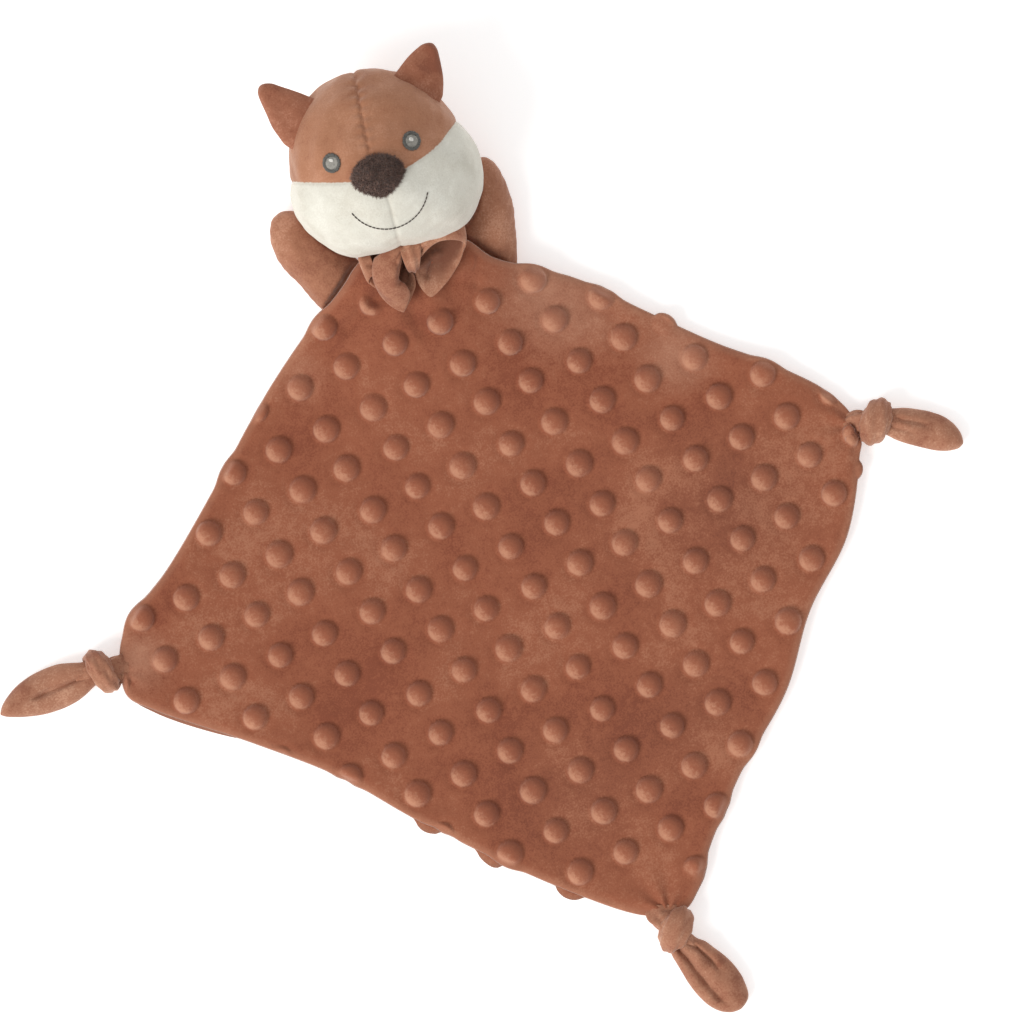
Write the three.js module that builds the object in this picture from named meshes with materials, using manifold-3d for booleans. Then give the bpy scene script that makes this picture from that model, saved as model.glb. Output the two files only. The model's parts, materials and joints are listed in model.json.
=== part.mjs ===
// A baby's comfort blanket: a square of dimple-dot plush, two layers thick, held by one corner
// under a stuffed fox head. It lies flat on its back and is seen from above.
// Lengths are millimetres and turns are degrees. +X is the viewer's right, +Y runs from the
// bottom corner to the head, +Z is up, and the underside rests on Z = 0.
import * as THREE from 'three';
import { mergeVertices } from 'three/addons/utils/BufferGeometryUtils.js';
import Module from 'manifold-3d';

// Clearances and overruns that every piece shares
const seamGap = 0.3;
const restCut = 0.5;
const overrun = 60;

// Blanket outline: four corners, the neck one cut square where the head takes over
const blanketWidth = 322;
const blanketHeight = 290.5;
const blanketMiddleX = 6.5;
const neckLeftX = -12;
const neckRightX = 43;
const neckEdgeY = 124.5;
const neckEdgeCrown = 4.2;
const rightCornerX = blanketMiddleX + blanketWidth / 2;
const rightCornerY = -5;
const bottomCornerX = 23;
const bottomCornerY = neckEdgeY - blanketHeight;
const leftCornerX = blanketMiddleX - blanketWidth / 2;
const leftCornerY = 7.5;

// Dimple-dot plush
const panelThickness = 2;
const dotHeight = 3;
const dotWidth = 11.2;
const dotCrownWidth = 7;
const dotPitchAcross = 21.2;
const dotPitchAlong = 19.3;
const dotRowTurn = 4.9;
const dotColumnTurn = 99.4;
const firstDotX = 14.9;
const firstDotY = -0.7;
const edgeMargin = 8;
const hemRollWidth = 9;
const hemThickness = 0.9;

// Folds of the blanket: it climbs to the neck, and its free sides lie in low waves
const neckLift = 19;
const neckLiftReach = 48;
const neckSlopeReach = 92;
const waveHeight = 1.6;
const waveLength = 88;

// Neck: a gathered knob of plush under the chin, tied round with thread
const neckX = 19.5;
const neckY = 128.5;
const neckZ = 24;
const neckRadius = 6;
const neckPleats = 7;
const neckPleatDepth = 0.9;
const tieThreadWidth = 1.1;
const tieThreadRadius = 4.4;

// Head, in its own frame: its middle at zero, +Y to the crown
const headWidth = 82;
const headHeight = 77;
const headDepth = 68;
const headTurn = -5;
const headMiddleX = 21.5;
const chinRise = 1.5;
const headMiddleY = neckY + chinRise + headHeight / 2;
const headSkin = 1.6;
const faceShift = -3.2;
const crownShift = -3.6;
const chinShift = 1.4;
const muzzleRise = 6;
const muzzleReach = 17;
const muzzleDrop = 11;
const muzzleOnsetShare = 0.5;
const maskDrop = 9.5;
const maskTurn = 20;

// Face
const eyeSpacing = 34;
const eyeRaise = 4.8;
const eyeWidth = 7.6;
const eyeHeight = 8.6;
const eyeBulge = 1.2;
const shineWidth = 3.6;
const shineHeight = 4.6;
const noseWidth = 23.6;
const noseHeight = 20.4;
const noseBulge = 4.2;
const noseDrop = 6.6;
const nosePointShare = 0.28;
const patchEdgeShare = 0.25;
const smileRadius = 17.6;
const smileDrop = 12;
const smileTurn = 67;
const smileShift = 1.6;
const smileThread = 1;

// Ears, sewn into the side seam; each leans from the spoke it stands on towards the crown
const earTurn = 43;
const earWidth = 22.5;
const earRootRadius = 2.5;
const earTipThickness = 3;
const earCup = 1.2;
const earRaise = 9;
const earLeftLength = 19;
const earLeftLean = -3.6;
const earRightLength = 13.5;
const earRightLean = 5.4;

// Arms: each runs from a root under the blanket's shoulder to a rounded paw
const armWidth = 26.5;
const armThickness = 18;
const armSkin = 1.5;
const armSeamHeight = 7;
const armHeadRoom = 5.2;
const leftArm = { rootX: -6, rootY: 108, rootRadius: 4, turn: 112, length: 49, blanketRoom: 9 };
const rightArm = { rootX: 46, rootY: 104, rootRadius: 5.6, turn: 76.5, length: 44.5, blanketRoom: 12.2 };

// Bow tie: two loops of one folded band, pinched by a narrow ring
const bowX = 19.4;
const bowY = 120.4;
const bowZ = 33.6;
const bowThickness = 1.2;
const bowPinch = 4.6;
const bowLoop = 6.4;
const bowTwistTurn = 24;
const bowRingWidth = 3.8;
const bowRingRadius = 4.9;
const bowWideningPower = 2.5;
const leftWing = { sign: -1, fallTurn: 19, droopTurn: 25, reach: 17, width: 28 };
const rightWing = { sign: 1, fallTurn: 20, droopTurn: 39, reach: 15.3, width: 33 };

// Corner straps: a tube of smooth velour, tied in an overhand knot and left with a padded tail
const strapPitch = 5.3;
const strapGap = 0.55;
const strapNeckWidth = 12.4;
const strapNeckHeight = 6;
const strapNeckInset = 3;
const strapEndShare = 1.35;
const knotStretchShare = 1.28;
const knotRiseShare = 0.88;
const knotEndShare = 1.06;
const knotDistance = 7.7;
const hingeReach = 10.4;
const hingeOffset = 3.1;
const tailRootRadius = 3.6;
const tailHeight = 9.6;
const tailPleatShare = 0.3;
const tailSettleShare = 0.4;
const rightStrap = {
  knotTurn: -2,
  handed: 1,
  tailTurn: -34,
  tailLength: 24,
  tailWidth: 17.5,
  pleatTurns: [60, 120],
};
const leftStrap = {
  knotTurn: 160,
  handed: -1,
  tailTurn: 186,
  tailLength: 34.6,
  tailWidth: 18.5,
  pleatTurns: [90],
};
const bottomStrap = {
  knotTurn: -83,
  handed: -1,
  tailTurn: -74,
  tailLength: 31.5,
  tailWidth: 20,
  pleatTurns: [60, 120],
};

// How finely round forms are cut into flats
const ballSides = 16;
const ballRings = 10;
const tailRoomSides = 12;
const tailRoomRings = 8;
const threadSides = 6;
const headOuterSides = 20;
const headInnerSides = 12;
const eyeSides = 12;
const shineSides = 8;
const noseSides = 20;
const earSides = 10;
const armOuterSides = 12;
const armInnerSides = 8;
const bowRingSides = 14;
const strapSides = 6;
const tailSides = 12;
const neckRings = 7;
const smileSteps = 16;
const bowSteps = 14;
const knotSteps = 26;
const outlineSteps = 46;

const v3 = (x, y, z) => new THREE.Vector3(x, y, z);
const radians = THREE.MathUtils.degToRad;
const halfGap = seamGap / 2;
const threadGap = 2 * seamGap;
const wasm = await Module();
wasm.setup();

// A closed geometry as a solid that can be cut, and back again
function solidOf(geometry) {
  const bare = geometry.clone();
  bare.deleteAttribute('normal');
  bare.deleteAttribute('uv');
  const merged = mergeVertices(bare, 1e-4);
  return new wasm.Manifold(
    new wasm.Mesh({
      numProp: 3,
      vertProperties: merged.attributes.position.array,
      triVerts: new Uint32Array(merged.index.array),
    }),
  );
}

function geometryOf(solid) {
  const mesh = solid.getMesh();
  const stride = mesh.numProp;
  const positions = new Float32Array(mesh.numVert * 3);
  for (let i = 0; i < mesh.numVert; i++) {
    positions.set(mesh.vertProperties.subarray(i * stride, i * stride + 3), i * 3);
  }
  const geometry = new THREE.BufferGeometry();
  geometry.setAttribute('position', new THREE.BufferAttribute(positions, 3));
  geometry.setIndex(new THREE.BufferAttribute(new Uint32Array(mesh.triVerts), 1));
  geometry.computeVertexNormals();
  return geometry;
}

function indexedGeometry(points, triangles) {
  const geometry = new THREE.BufferGeometry().setFromPoints(points);
  geometry.setIndex(triangles);
  geometry.computeVertexNormals();
  return geometry;
}

// A closed body through rings of equally many points, fanned shut at both ends.
// Each ring runs counter-clockwise seen from the far end.
function loft(rings, startPole, endPole) {
  const sides = rings[0].length;
  const points = rings.flat();
  const triangles = [];
  for (let r = 0; r + 1 < rings.length; r++) {
    for (let s = 0; s < sides; s++) {
      const next = (s + 1) % sides;
      const a = r * sides + s;
      const b = r * sides + next;
      triangles.push(a, b, a + sides, b, b + sides, a + sides);
    }
  }
  const middle = (ring) => ring.reduce((sum, p) => sum.add(p), v3(0, 0, 0)).divideScalar(sides);
  const first = points.push(startPole ?? middle(rings[0])) - 1;
  const last = points.push(endPole ?? middle(rings.at(-1))) - 1;
  const lastRing = (rings.length - 1) * sides;
  for (let s = 0; s < sides; s++) {
    const next = (s + 1) % sides;
    triangles.push(first, next, s, last, lastRing + s, lastRing + next);
  }
  return indexedGeometry(points, triangles);
}

// An oval ring round a middle; side, up and the way of travel are right-handed
function ovalRing(middle, side, up, halfWidth, halfHeight, sides, swell = () => 1) {
  const ring = [];
  for (let s = 0; s < sides; s++) {
    const angle = (2 * Math.PI * s) / sides;
    const reach = swell(angle);
    ring.push(
      middle
        .clone()
        .addScaledVector(side, halfWidth * reach * Math.cos(angle))
        .addScaledVector(up, halfHeight * reach * Math.sin(angle)),
    );
  }
  return ring;
}

// Straight-line reading of a table of [place, value] pairs
function tableValue(table, place) {
  let k = 1;
  while (k < table.length - 1 && table[k][0] < place) k++;
  const [x0, y0] = table[k - 1];
  const [x1, y1] = table[k];
  return y0 + ((y1 - y0) * (place - x0)) / (x1 - x0);
}

// A prism with its outline in plan, between two heights
function prism(outline, low, high) {
  const shape = new THREE.Shape(outline.map(([x, y]) => new THREE.Vector2(x, y)));
  const block = new THREE.ExtrudeGeometry(shape, { depth: high - low, bevelEnabled: false });
  return solidOf(block.translate(0, 0, low));
}

function ball(middle, radius, around = ballSides, down = ballRings) {
  return solidOf(new THREE.SphereGeometry(radius, around, down).translate(...middle));
}

const aboveFloor = (size) =>
  prism([[-size, -size], [size, -size], [size, size], [-size, size]], 0, size);
const overall = Math.abs(bottomCornerY) + headMiddleY + headHeight;

// Materials
const cloth = (colour, roughness = 0.95) =>
  new THREE.MeshStandardMaterial({ color: colour, roughness, metalness: 0 });
const finishes = {
  dottedPlush: cloth(0x955e46),
  velour: cloth(0xa0694f),
  headVelour: cloth(0xa47259),
  creamVelour: cloth(0xedebde),
  nosePile: cloth(0x4e3b35, 1),
  greyThread: cloth(0x6f6a66, 0.6),
  silverThread: cloth(0xc3beb0, 0.4),
  darkThread: cloth(0x4a4240, 0.7),
  fibreFill: cloth(0xf4f2ee, 1),
};

// Says where a moving piece folds, and about which line
const places = (vector) => vector.toArray().map((value) => value.toFixed(2)).join(', ');
const printHinge = (name, point, line) =>
  console.log(`${name} folds at ${places(point)} about ${places(line)}`);

const toy = new THREE.Group();
function addPiece(name, geometry, finish, parent = toy) {
  const mesh = new THREE.Mesh(geometry, finish);
  mesh.name = name;
  parent.add(mesh);
  return mesh;
}

// Blanket outline. Each side is a chord between two corners with [share along, bulge share].
const neckLeft = [neckLeftX, neckEdgeY];
const neckRight = [neckRightX, neckEdgeY];
const rightCorner = [rightCornerX, rightCornerY];
const bottomCorner = [bottomCornerX, bottomCornerY];
const leftCorner = [leftCornerX, leftCornerY];
const topRightShares = [
  [0.07, -0.01], [0.19, 0.016], [0.27, 0.03], [0.44, 0.031], [0.62, 0.035], [0.75, 0.047], [0.92, 0.042],
];
const lowRightShares = [
  [0.05, 0.023], [0.2, 0.057], [0.36, 0.043], [0.52, 0.057], [0.7, 0.033], [0.86, 0.028], [0.96, 0.029],
];
const lowLeftShares = [
  [0.035, 0.02], [0.18, 0.034], [0.44, 0.028], [0.59, 0.014], [0.75, 0.021], [0.93, 0.031],
];
const topLeftShares = [
  [0.05, 0.029], [0.11, 0.041], [0.25, 0.024], [0.5, 0.024], [0.68, 0.029], [0.84, 0.021],
];

function sidePoints([fromX, fromY], [toX, toY], shares) {
  const alongX = toX - fromX;
  const alongY = toY - fromY;
  return shares.map(([along, bulge]) => [
    fromX + alongX * along - alongY * bulge,
    fromY + alongY * along + alongX * bulge,
  ]);
}

function blanketOutline() {
  const neckMiddle = [(neckLeftX + neckRightX) / 2, neckEdgeY + neckEdgeCrown];
  const clockwise = [
    neckLeft,
    neckMiddle,
    neckRight,
    ...sidePoints(neckRight, rightCorner, topRightShares),
    rightCorner,
    ...sidePoints(rightCorner, bottomCorner, lowRightShares),
    bottomCorner,
    ...sidePoints(bottomCorner, leftCorner, lowLeftShares),
    leftCorner,
    ...sidePoints(leftCorner, neckLeft, topLeftShares),
  ];
  const controls = clockwise.reverse().map(([x, y]) => v3(x, y, 0));
  const curve = new THREE.CatmullRomCurve3(controls, true, 'centripetal');
  return curve.getSpacedPoints(outlineSteps).slice(0, -1).map((p) => [p.x, p.y]);
}
const outline = blanketOutline();

// How far a point lies inside the blanket's edge; below zero outside
function edgeDistance(x, y) {
  let nearest = Infinity;
  let inside = false;
  outline.forEach(([ax, ay], i) => {
    const [bx, by] = outline[(i + 1) % outline.length];
    const ex = bx - ax;
    const ey = by - ay;
    const along = THREE.MathUtils.clamp(((x - ax) * ex + (y - ay) * ey) / (ex * ex + ey * ey), 0, 1);
    nearest = Math.min(nearest, Math.hypot(x - ax - ex * along, y - ay - ey * along));
    if (ay > y !== by > y && x < ax + (ex * (y - ay)) / ey) inside = !inside;
  });
  return inside ? nearest : -nearest;
}

// Height of the seam between the two panels: level over the table, climbing to the neck,
// with low waves along the free sides
const seamLevel = dotHeight - restCut + panelThickness + halfGap;
function seamHeight(x, y) {
  const fromNeck = Math.hypot(x - neckX, y - neckY);
  const climb = neckLift * Math.exp(-((fromNeck / neckLiftReach) ** 2));
  const nearEdge = Math.exp(-Math.max(edgeDistance(x, y), 0) / dotPitchAcross);
  const wave = (waveHeight * nearEdge * (1 + Math.sin((2 * Math.PI * (x - y)) / waveLength))) / 2;
  return seamLevel + climb + wave;
}

// One dotted panel. Dots stand at the points of a slanting lattice: each is a square foot with its
// corners on the lattice lines, and a crown turned by an eighth of a turn. The border of the
// lattice has no dots, nor has the blanket's edge. facing is 1 for the front, -1 for the back.
function dottedPanel(facing) {
  const across = [
    dotPitchAcross * Math.cos(radians(dotRowTurn)),
    dotPitchAcross * Math.sin(radians(dotRowTurn)),
  ];
  const along = [
    dotPitchAlong * Math.cos(radians(dotColumnTurn)),
    dotPitchAlong * Math.sin(radians(dotColumnTurn)),
  ];
  const reach = Math.max(rightCornerX - firstDotX, firstDotX - leftCornerX);
  const spareCells = 2;
  const even = (count) => 2 * Math.ceil(count / 2);
  const columns = even(reach / dotPitchAcross + spareCells);
  const rows = even(blanketHeight / 2 / dotPitchAlong + spareCells);
  const place = (i, j) => [
    firstDotX + i * across[0] + j * along[0],
    firstDotY + i * across[1] + j * along[1],
  ];
  const seamAt = (i, j) => seamHeight(...place(i, j));
  const points = [];
  const ids = new Map();
  const fullness = (x, y) => THREE.MathUtils.clamp(edgeDistance(x, y) / hemRollWidth, 0, 1);

  // A vertex that lies a share of the way from one lattice point towards the next
  function vertex(key, i, j, stepI, stepJ, share, lift) {
    if (ids.has(key)) return ids.get(key);
    const [x, y] = place(i + stepI * share, j + stepJ * share);
    const seam = seamAt(i, j) * (1 - share) + seamAt(i + stepI, j + stepJ) * share;
    const full = fullness(x, y);
    const thickness = hemThickness + (panelThickness - hemThickness) * full + lift * full;
    const z = seam + facing * (halfGap + thickness);
    ids.set(key, points.push(v3(x, y, Math.max(z, 0))) - 1);
    return ids.get(key);
  }
  const isBare = (i, j) =>
    Math.abs(i) === columns || Math.abs(j) === rows || edgeDistance(...place(i, j)) < edgeMargin;
  const steps = [[1, 0], [0, 1], [-1, 0], [0, -1]];
  const footShares = [
    dotWidth / 2 / dotPitchAcross,
    dotWidth / 2 / dotPitchAlong,
    dotWidth / 2 / dotPitchAcross,
    dotWidth / 2 / dotPitchAlong,
  ];
  const foot = (i, j, k) =>
    isBare(i, j)
      ? vertex(`bare ${i} ${j}`, i, j, 0, 0, 0, 0)
      : vertex(`foot ${i} ${j} ${k}`, i, j, ...steps[k], footShares[k], 0);

  function crown(i, j, k) {
    const key = `crown ${i} ${j} ${k}`;
    if (ids.has(key)) return ids.get(key);
    const [stepI, stepJ] = steps[k];
    const [nextI, nextJ] = steps[(k + 1) % steps.length];
    const shareI = ((stepI + nextI) * dotCrownWidth) / 2 / Math.SQRT2 / dotPitchAcross;
    const shareJ = ((stepJ + nextJ) * dotCrownWidth) / 2 / Math.SQRT2 / dotPitchAlong;
    const [x, y] = place(i + shareI, j + shareJ);
    const full = fullness(x, y);
    const thickness = hemThickness + (panelThickness + dotHeight - hemThickness) * full;
    const z = seamAt(i, j) + facing * (halfGap + thickness);
    ids.set(key, points.push(v3(x, y, Math.max(z, 0))) - 1);
    return ids.get(key);
  }
  function inner(i, j) {
    const key = `inner ${i} ${j}`;
    if (ids.has(key)) return ids.get(key);
    const [x, y] = place(i, j);
    ids.set(key, points.push(v3(x, y, seamAt(i, j) + facing * halfGap)) - 1);
    return ids.get(key);
  }

  const triangles = [];
  function triangle(a, b, c) {
    if (a === b || b === c || c === a) return;
    if (facing > 0) triangles.push(a, b, c);
    else triangles.push(a, c, b);
  }
  function quad(a, b, c, d) {
    triangle(a, b, c);
    triangle(a, c, d);
  }

  for (let i = -columns; i < columns; i++) {
    for (let j = -rows; j < rows; j++) {
      const lowLeft = [foot(i, j, 1), foot(i, j, 0)];
      const lowRight = [foot(i + 1, j, 2), foot(i + 1, j, 1)];
      const highRight = [foot(i + 1, j + 1, 3), foot(i + 1, j + 1, 2)];
      const highLeft = [foot(i, j + 1, 0), foot(i, j + 1, 3)];
      quad(lowLeft[0], lowLeft[1], lowRight[0], lowRight[1]);
      quad(lowLeft[0], lowRight[1], highRight[0], highLeft[1]);
      quad(highLeft[1], highRight[0], highRight[1], highLeft[0]);
      if (isBare(i, j)) continue;
      const crowns = steps.map((step, k) => crown(i, j, k));
      for (let k = 0; k < steps.length; k++) {
        const next = (k + 1) % steps.length;
        triangle(foot(i, j, k), foot(i, j, next), crowns[k]);
        triangle(crowns[k], foot(i, j, next), crowns[next]);
      }
      quad(...crowns);
    }
  }
  // The inner face is plain: squares of two by two lattice cells, fanned from the middle where a
  // side lies on the slope up to the neck
  const slopes = (i, j) => {
    const [x, y] = place(i, j);
    return Math.hypot(x - neckX, y - neckY) < neckSlopeReach;
  };
  const squareRim = [[0, 0], [0, 1], [0, 2], [1, 2], [2, 2], [2, 1], [2, 0], [1, 0]];
  for (let i = -columns; i < columns; i += 2) {
    for (let j = -rows; j < rows; j += 2) {
      const rim = squareRim
        .filter(([di, dj]) => (di !== 1 && dj !== 1) || slopes(i + di, j + dj))
        .map(([di, dj]) => inner(i + di, j + dj));
      if (rim.length === 4) quad(...rim);
      else rim.forEach((corner, k) => triangle(inner(i + 1, j + 1), corner, rim[(k + 1) % rim.length]));
    }
  }

  // A wall round the lattice's border joins the inner face to the outer face
  function wall(i, j, stepI, stepJ) {
    const [start, middle, end] = [0, 1, 2].map((k) => foot(i + k * stepI, j + k * stepJ, 0));
    const innerStart = inner(i, j);
    const innerEnd = inner(i + 2 * stepI, j + 2 * stepJ);
    if (slopes(i + stepI, j + stepJ)) {
      const innerMiddle = inner(i + stepI, j + stepJ);
      quad(innerStart, innerMiddle, middle, start);
      quad(innerMiddle, innerEnd, end, middle);
      return;
    }
    triangle(innerStart, innerEnd, middle);
    triangle(innerStart, middle, start);
    triangle(innerEnd, end, middle);
  }
  for (let i = -columns; i < columns; i += 2) {
    wall(i, -rows, 1, 0);
    wall(-i, rows, -1, 0);
  }
  for (let j = -rows; j < rows; j += 2) {
    wall(columns, j, 0, 1);
    wall(-columns, -j, 0, -1);
  }
  return solidOf(indexedGeometry(points, triangles));
}

const neckMiddle = v3(neckX, neckY, neckZ);
const neckRoom = ball(neckMiddle, neckRadius + seamGap);
const blanketPrism = prism(outline, -overrun, overrun);
for (const [name, facing] of [['blanket_front_panel', 1], ['blanket_back_panel', -1]]) {
  const panel = dottedPanel(facing).intersect(blanketPrism).subtract(neckRoom);
  addPiece(name, geometryOf(panel), finishes.dottedPlush);
}

// Neck knob: a ball with pleats drawn in round the line from the blanket to the head
function neckKnob() {
  const sides = neckPleats * 2;
  const rings = [];
  for (let k = 1; k < neckRings; k++) {
    const turn = (Math.PI * k) / neckRings;
    const middle = neckMiddle.clone().setY(neckY - neckRadius * Math.cos(turn));
    const reach = neckRadius * Math.sin(turn);
    const pleat = (angle) =>
      1 - ((neckPleatDepth / neckRadius) * (1 - Math.cos(neckPleats * angle))) / 2;
    rings.push(ovalRing(middle, v3(0, 0, 1), v3(1, 0, 0), reach, reach, sides, pleat));
  }
  const pole = v3(0, neckRadius, 0);
  return loft(rings, neckMiddle.clone().sub(pole), neckMiddle.clone().add(pole));
}

function threadRing(radius, width) {
  const profile = [];
  const reach = width / 2;
  for (let k = 0; k <= threadSides; k++) {
    const angle = (2 * Math.PI * k) / threadSides;
    profile.push(new THREE.Vector2(radius + reach * Math.cos(angle), reach * Math.sin(angle)));
  }
  return new THREE.LatheGeometry(profile, neckPleats * 2);
}

const tieOffset = Math.sqrt(neckRadius ** 2 - (tieThreadRadius + tieThreadWidth) ** 2);
const tieRing = threadRing(tieThreadRadius, tieThreadWidth).translate(neckX, neckY + tieOffset, neckZ);
const tieGroove = threadRing(tieThreadRadius, tieThreadWidth + threadGap);
tieGroove.translate(neckX, neckY + tieOffset, neckZ);
addPiece('neck_gather', geometryOf(solidOf(neckKnob()).subtract(solidOf(tieGroove))), finishes.velour);

// Head: halfGap widths and halfGap depths at shares of its height, chin to crown
const headWidthShares = [
  [0, 0], [0.02, 0.57], [0.07, 0.73], [0.16, 0.865], [0.27, 0.965], [0.38, 1], [0.5, 0.945],
  [0.62, 0.875], [0.74, 0.795], [0.85, 0.645], [0.94, 0.43], [0.985, 0.22], [1, 0],
];
const headDepthShares = [
  [0, 0], [0.02, 0.5], [0.07, 0.73], [0.16, 0.88], [0.27, 0.97], [0.38, 1], [0.5, 1],
  [0.62, 0.95], [0.74, 0.85], [0.85, 0.69], [0.94, 0.45], [0.985, 0.22], [1, 0],
];
const headMiddleZ = headDepth / 2 - restCut;

// Half width, halfGap depth and muzzle of the head at a height in its own frame
const headShareAt = (y) => (y + headHeight / 2) / headHeight;
const headHalfWidth = (y) => (headWidth / 2) * tableValue(headWidthShares, headShareAt(y));
const headHalfDepth = (y) => (headDepth / 2) * tableValue(headDepthShares, headShareAt(y));
const headMiddle = (y) => THREE.MathUtils.lerp(chinShift, crownShift, headShareAt(y));
function muzzle(x, y) {
  const away = Math.hypot(x - faceShift, y + muzzleDrop) / muzzleReach;
  return muzzleRise * Math.exp(-(away ** 2));
}
function faceHeight(x, y) {
  const across = Math.min(Math.abs(x - headMiddle(y)) / headHalfWidth(y), 1);
  return headHalfDepth(y) * Math.sqrt(1 - across ** 2) + muzzle(x, y);
}

function headBody(inset, sides) {
  const rings = headWidthShares.slice(1, -1).map(([share, widthShare], k) => {
    const reach = headHeight / 2 - inset;
    const y = reach * (2 * share - 1);
    const halfWidth = (headWidth / 2 - inset) * widthShare;
    const halfDepth = (headDepth / 2 - inset) * headDepthShares[k + 1][1];
    const middle = v3(headMiddle(y), y, 0);
    const ring = ovalRing(middle, v3(0, 0, 1), v3(1, 0, 0), halfDepth, halfWidth, sides);
    ring.forEach((p) => {
      const onset = Math.min(p.z / (halfDepth * muzzleOnsetShare), 1);
      if (p.z > 0) p.z += muzzle(p.x, y) * onset;
    });
    return ring;
  });
  const reach = headHeight / 2 - inset;
  return solidOf(loft(rings, v3(chinShift, -reach, 0), v3(crownShift, reach, 0)));
}

const headFrame = new THREE.Matrix4()
  .makeRotationZ(radians(headTurn))
  .setPosition(headMiddleX, headMiddleY, headMiddleZ);
const toHead = headFrame.clone().invert();
const inHead = (point) => point.clone().applyMatrix4(toHead);
const head = new THREE.Group();
head.applyMatrix4(headFrame);
toy.add(head);

// Everything of the head stands on the table and leaves room for the neck knob
const headSocket = ball(inHead(neckMiddle), neckRadius + seamGap);
const table = aboveFloor(overall).translate(0, 0, -headMiddleZ);

const headShell = headBody(0, headOuterSides).subtract(headBody(headSkin, headInnerSides));
const sideSeam = neckZ - headMiddleZ;
const slope = Math.tan(radians(maskTurn));
const maskLine = (x, lift) => [x, -maskDrop + Math.abs(x - faceShift) * slope + lift];

// Panels: brow and cheek left and right of the face seam, and two halves behind the side seam,
// which meets the neck
function headPanel(name, region, low, high, finish) {
  const panel = headShell.intersect(prism(region, low, high)).subtract(headSocket).intersect(table);
  addPiece(name, geometryOf(panel), finish, head);
}
for (const [side, sign] of [['left', -1], ['right', 1]]) {
  const seamX = faceShift + sign * halfGap;
  const farX = sign * overrun;
  const wound = (points) => (sign > 0 ? points : points.reverse());
  const above = [[farX, overrun], [seamX, overrun]];
  const below = [[seamX, -overrun], [farX, -overrun]];
  const brow = wound([maskLine(seamX, halfGap), maskLine(farX, halfGap), ...above]);
  const cheek = wound([...below, maskLine(farX, -halfGap), maskLine(seamX, -halfGap)]);
  const back = wound([...below, ...above]);
  headPanel(`head_brow_${side}`, brow, sideSeam + halfGap, overrun, finishes.headVelour);
  headPanel(`head_cheek_${side}`, cheek, sideSeam + halfGap, overrun, finishes.creamVelour);
  headPanel(`head_back_${side}`, back, -overrun, sideSeam - halfGap, finishes.headVelour);
}
const fillRoom = ball(inHead(neckMiddle), neckRadius + headSkin + seamGap);
const fillTable = aboveFloor(overall).translate(0, 0, headSkin - headMiddleZ);
const headFill = headBody(headSkin + seamGap, headInnerSides).subtract(fillRoom).intersect(fillTable);
addPiece('head_stuffing', geometryOf(headFill), finishes.fibreFill, head);

// A low dome that follows the face: rings shrink from its rim to its crown
function facePatch(middleX, middleY, outlineAt, bulge, clearance, sides) {
  const baseShares = [0.45, 1];
  const domeShares = [1, 0.8, 0.45];
  const onFace = (share, angle, lift) => {
    const [dx, dy] = outlineAt(angle);
    const x = middleX + dx * share;
    const y = middleY + dy * share;
    return v3(x, y, faceHeight(x, y) + clearance + lift);
  };
  const rim = domeShares.map((share) => {
    const ring = [];
    for (let s = 0; s < sides; s++) {
      const lift = bulge * (1 + patchEdgeShare - share ** 2);
      ring.push(onFace(share, (2 * Math.PI * s) / sides, lift));
    }
    return ring;
  });
  const base = baseShares.map((share) => {
    const ring = [];
    for (let s = 0; s < sides; s++) ring.push(onFace(share, (2 * Math.PI * s) / sides, 0));
    return ring;
  });
  const under = v3(middleX, middleY, faceHeight(middleX, middleY) + clearance);
  const crown = under.clone().setZ(under.z + bulge * (1 + patchEdgeShare));
  return loft([...base, ...rim], under, crown);
}
const oval = (width, height) => (angle) => [
  (width / 2) * Math.cos(angle),
  (height / 2) * Math.sin(angle),
];

// Embroidered eyes: a grey ring with a silver shine inside it
for (const [side, sign] of [['left', -1], ['right', 1]]) {
  const x = faceShift + (sign * eyeSpacing) / 2;
  const rim = oval(eyeWidth, eyeHeight);
  const eye = solidOf(facePatch(x, eyeRaise, rim, eyeBulge, seamGap, eyeSides));
  const shineRoom = oval(shineWidth + threadGap, shineHeight + threadGap);
  const cut = [];
  for (let s = 0; s < eyeSides; s++) {
    const [dx, dy] = shineRoom((2 * Math.PI * s) / eyeSides);
    cut.push([x + dx, eyeRaise + dy]);
  }
  const ring = eye.subtract(prism(cut, -overrun, overrun));
  addPiece(`eye_ring_${side}`, geometryOf(ring), finishes.greyThread, head);
  const shineRim = oval(shineWidth, shineHeight);
  const shine = facePatch(x, eyeRaise, shineRim, eyeBulge, seamGap, shineSides);
  addPiece(`eye_shine_${side}`, shine, finishes.silverThread, head);
}

// Nose: a padded patch of long pile, broad on top and drawn to a point below
const noseOutline = (angle) => {
  const [x, y] = oval(noseWidth, noseHeight)(angle);
  const point = Math.max(-Math.sin(angle), 0) ** 2;
  return [x * (1 - nosePointShare * point), y];
};
const nose = facePatch(faceShift, -noseDrop, noseOutline, noseBulge, seamGap, noseSides);
addPiece('nose', nose, finishes.nosePile, head);

// Smile: one thread laid along an arc under the nose
function smile() {
  const rings = [];
  const reach = smileThread / 2;
  for (let k = 0; k <= smileSteps; k++) {
    const angle = -Math.PI / 2 + radians(smileTurn) * ((2 * k) / smileSteps - 1);
    const x = faceShift + smileShift + smileRadius * Math.cos(angle);
    const y = -smileDrop + smileRadius * Math.sin(angle);
    const middle = v3(x, y, faceHeight(x, y) + threadGap + reach);
    const outward = v3(Math.cos(angle), Math.sin(angle), 0);
    rings.push(ovalRing(middle, v3(0, 0, 1), outward, reach, reach, threadSides));
  }
  return loft(rings);
}
addPiece('mouth_thread', smile(), finishes.darkThread, head);

addPiece('neck_tie_thread', tieRing, finishes.darkThread);

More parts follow.
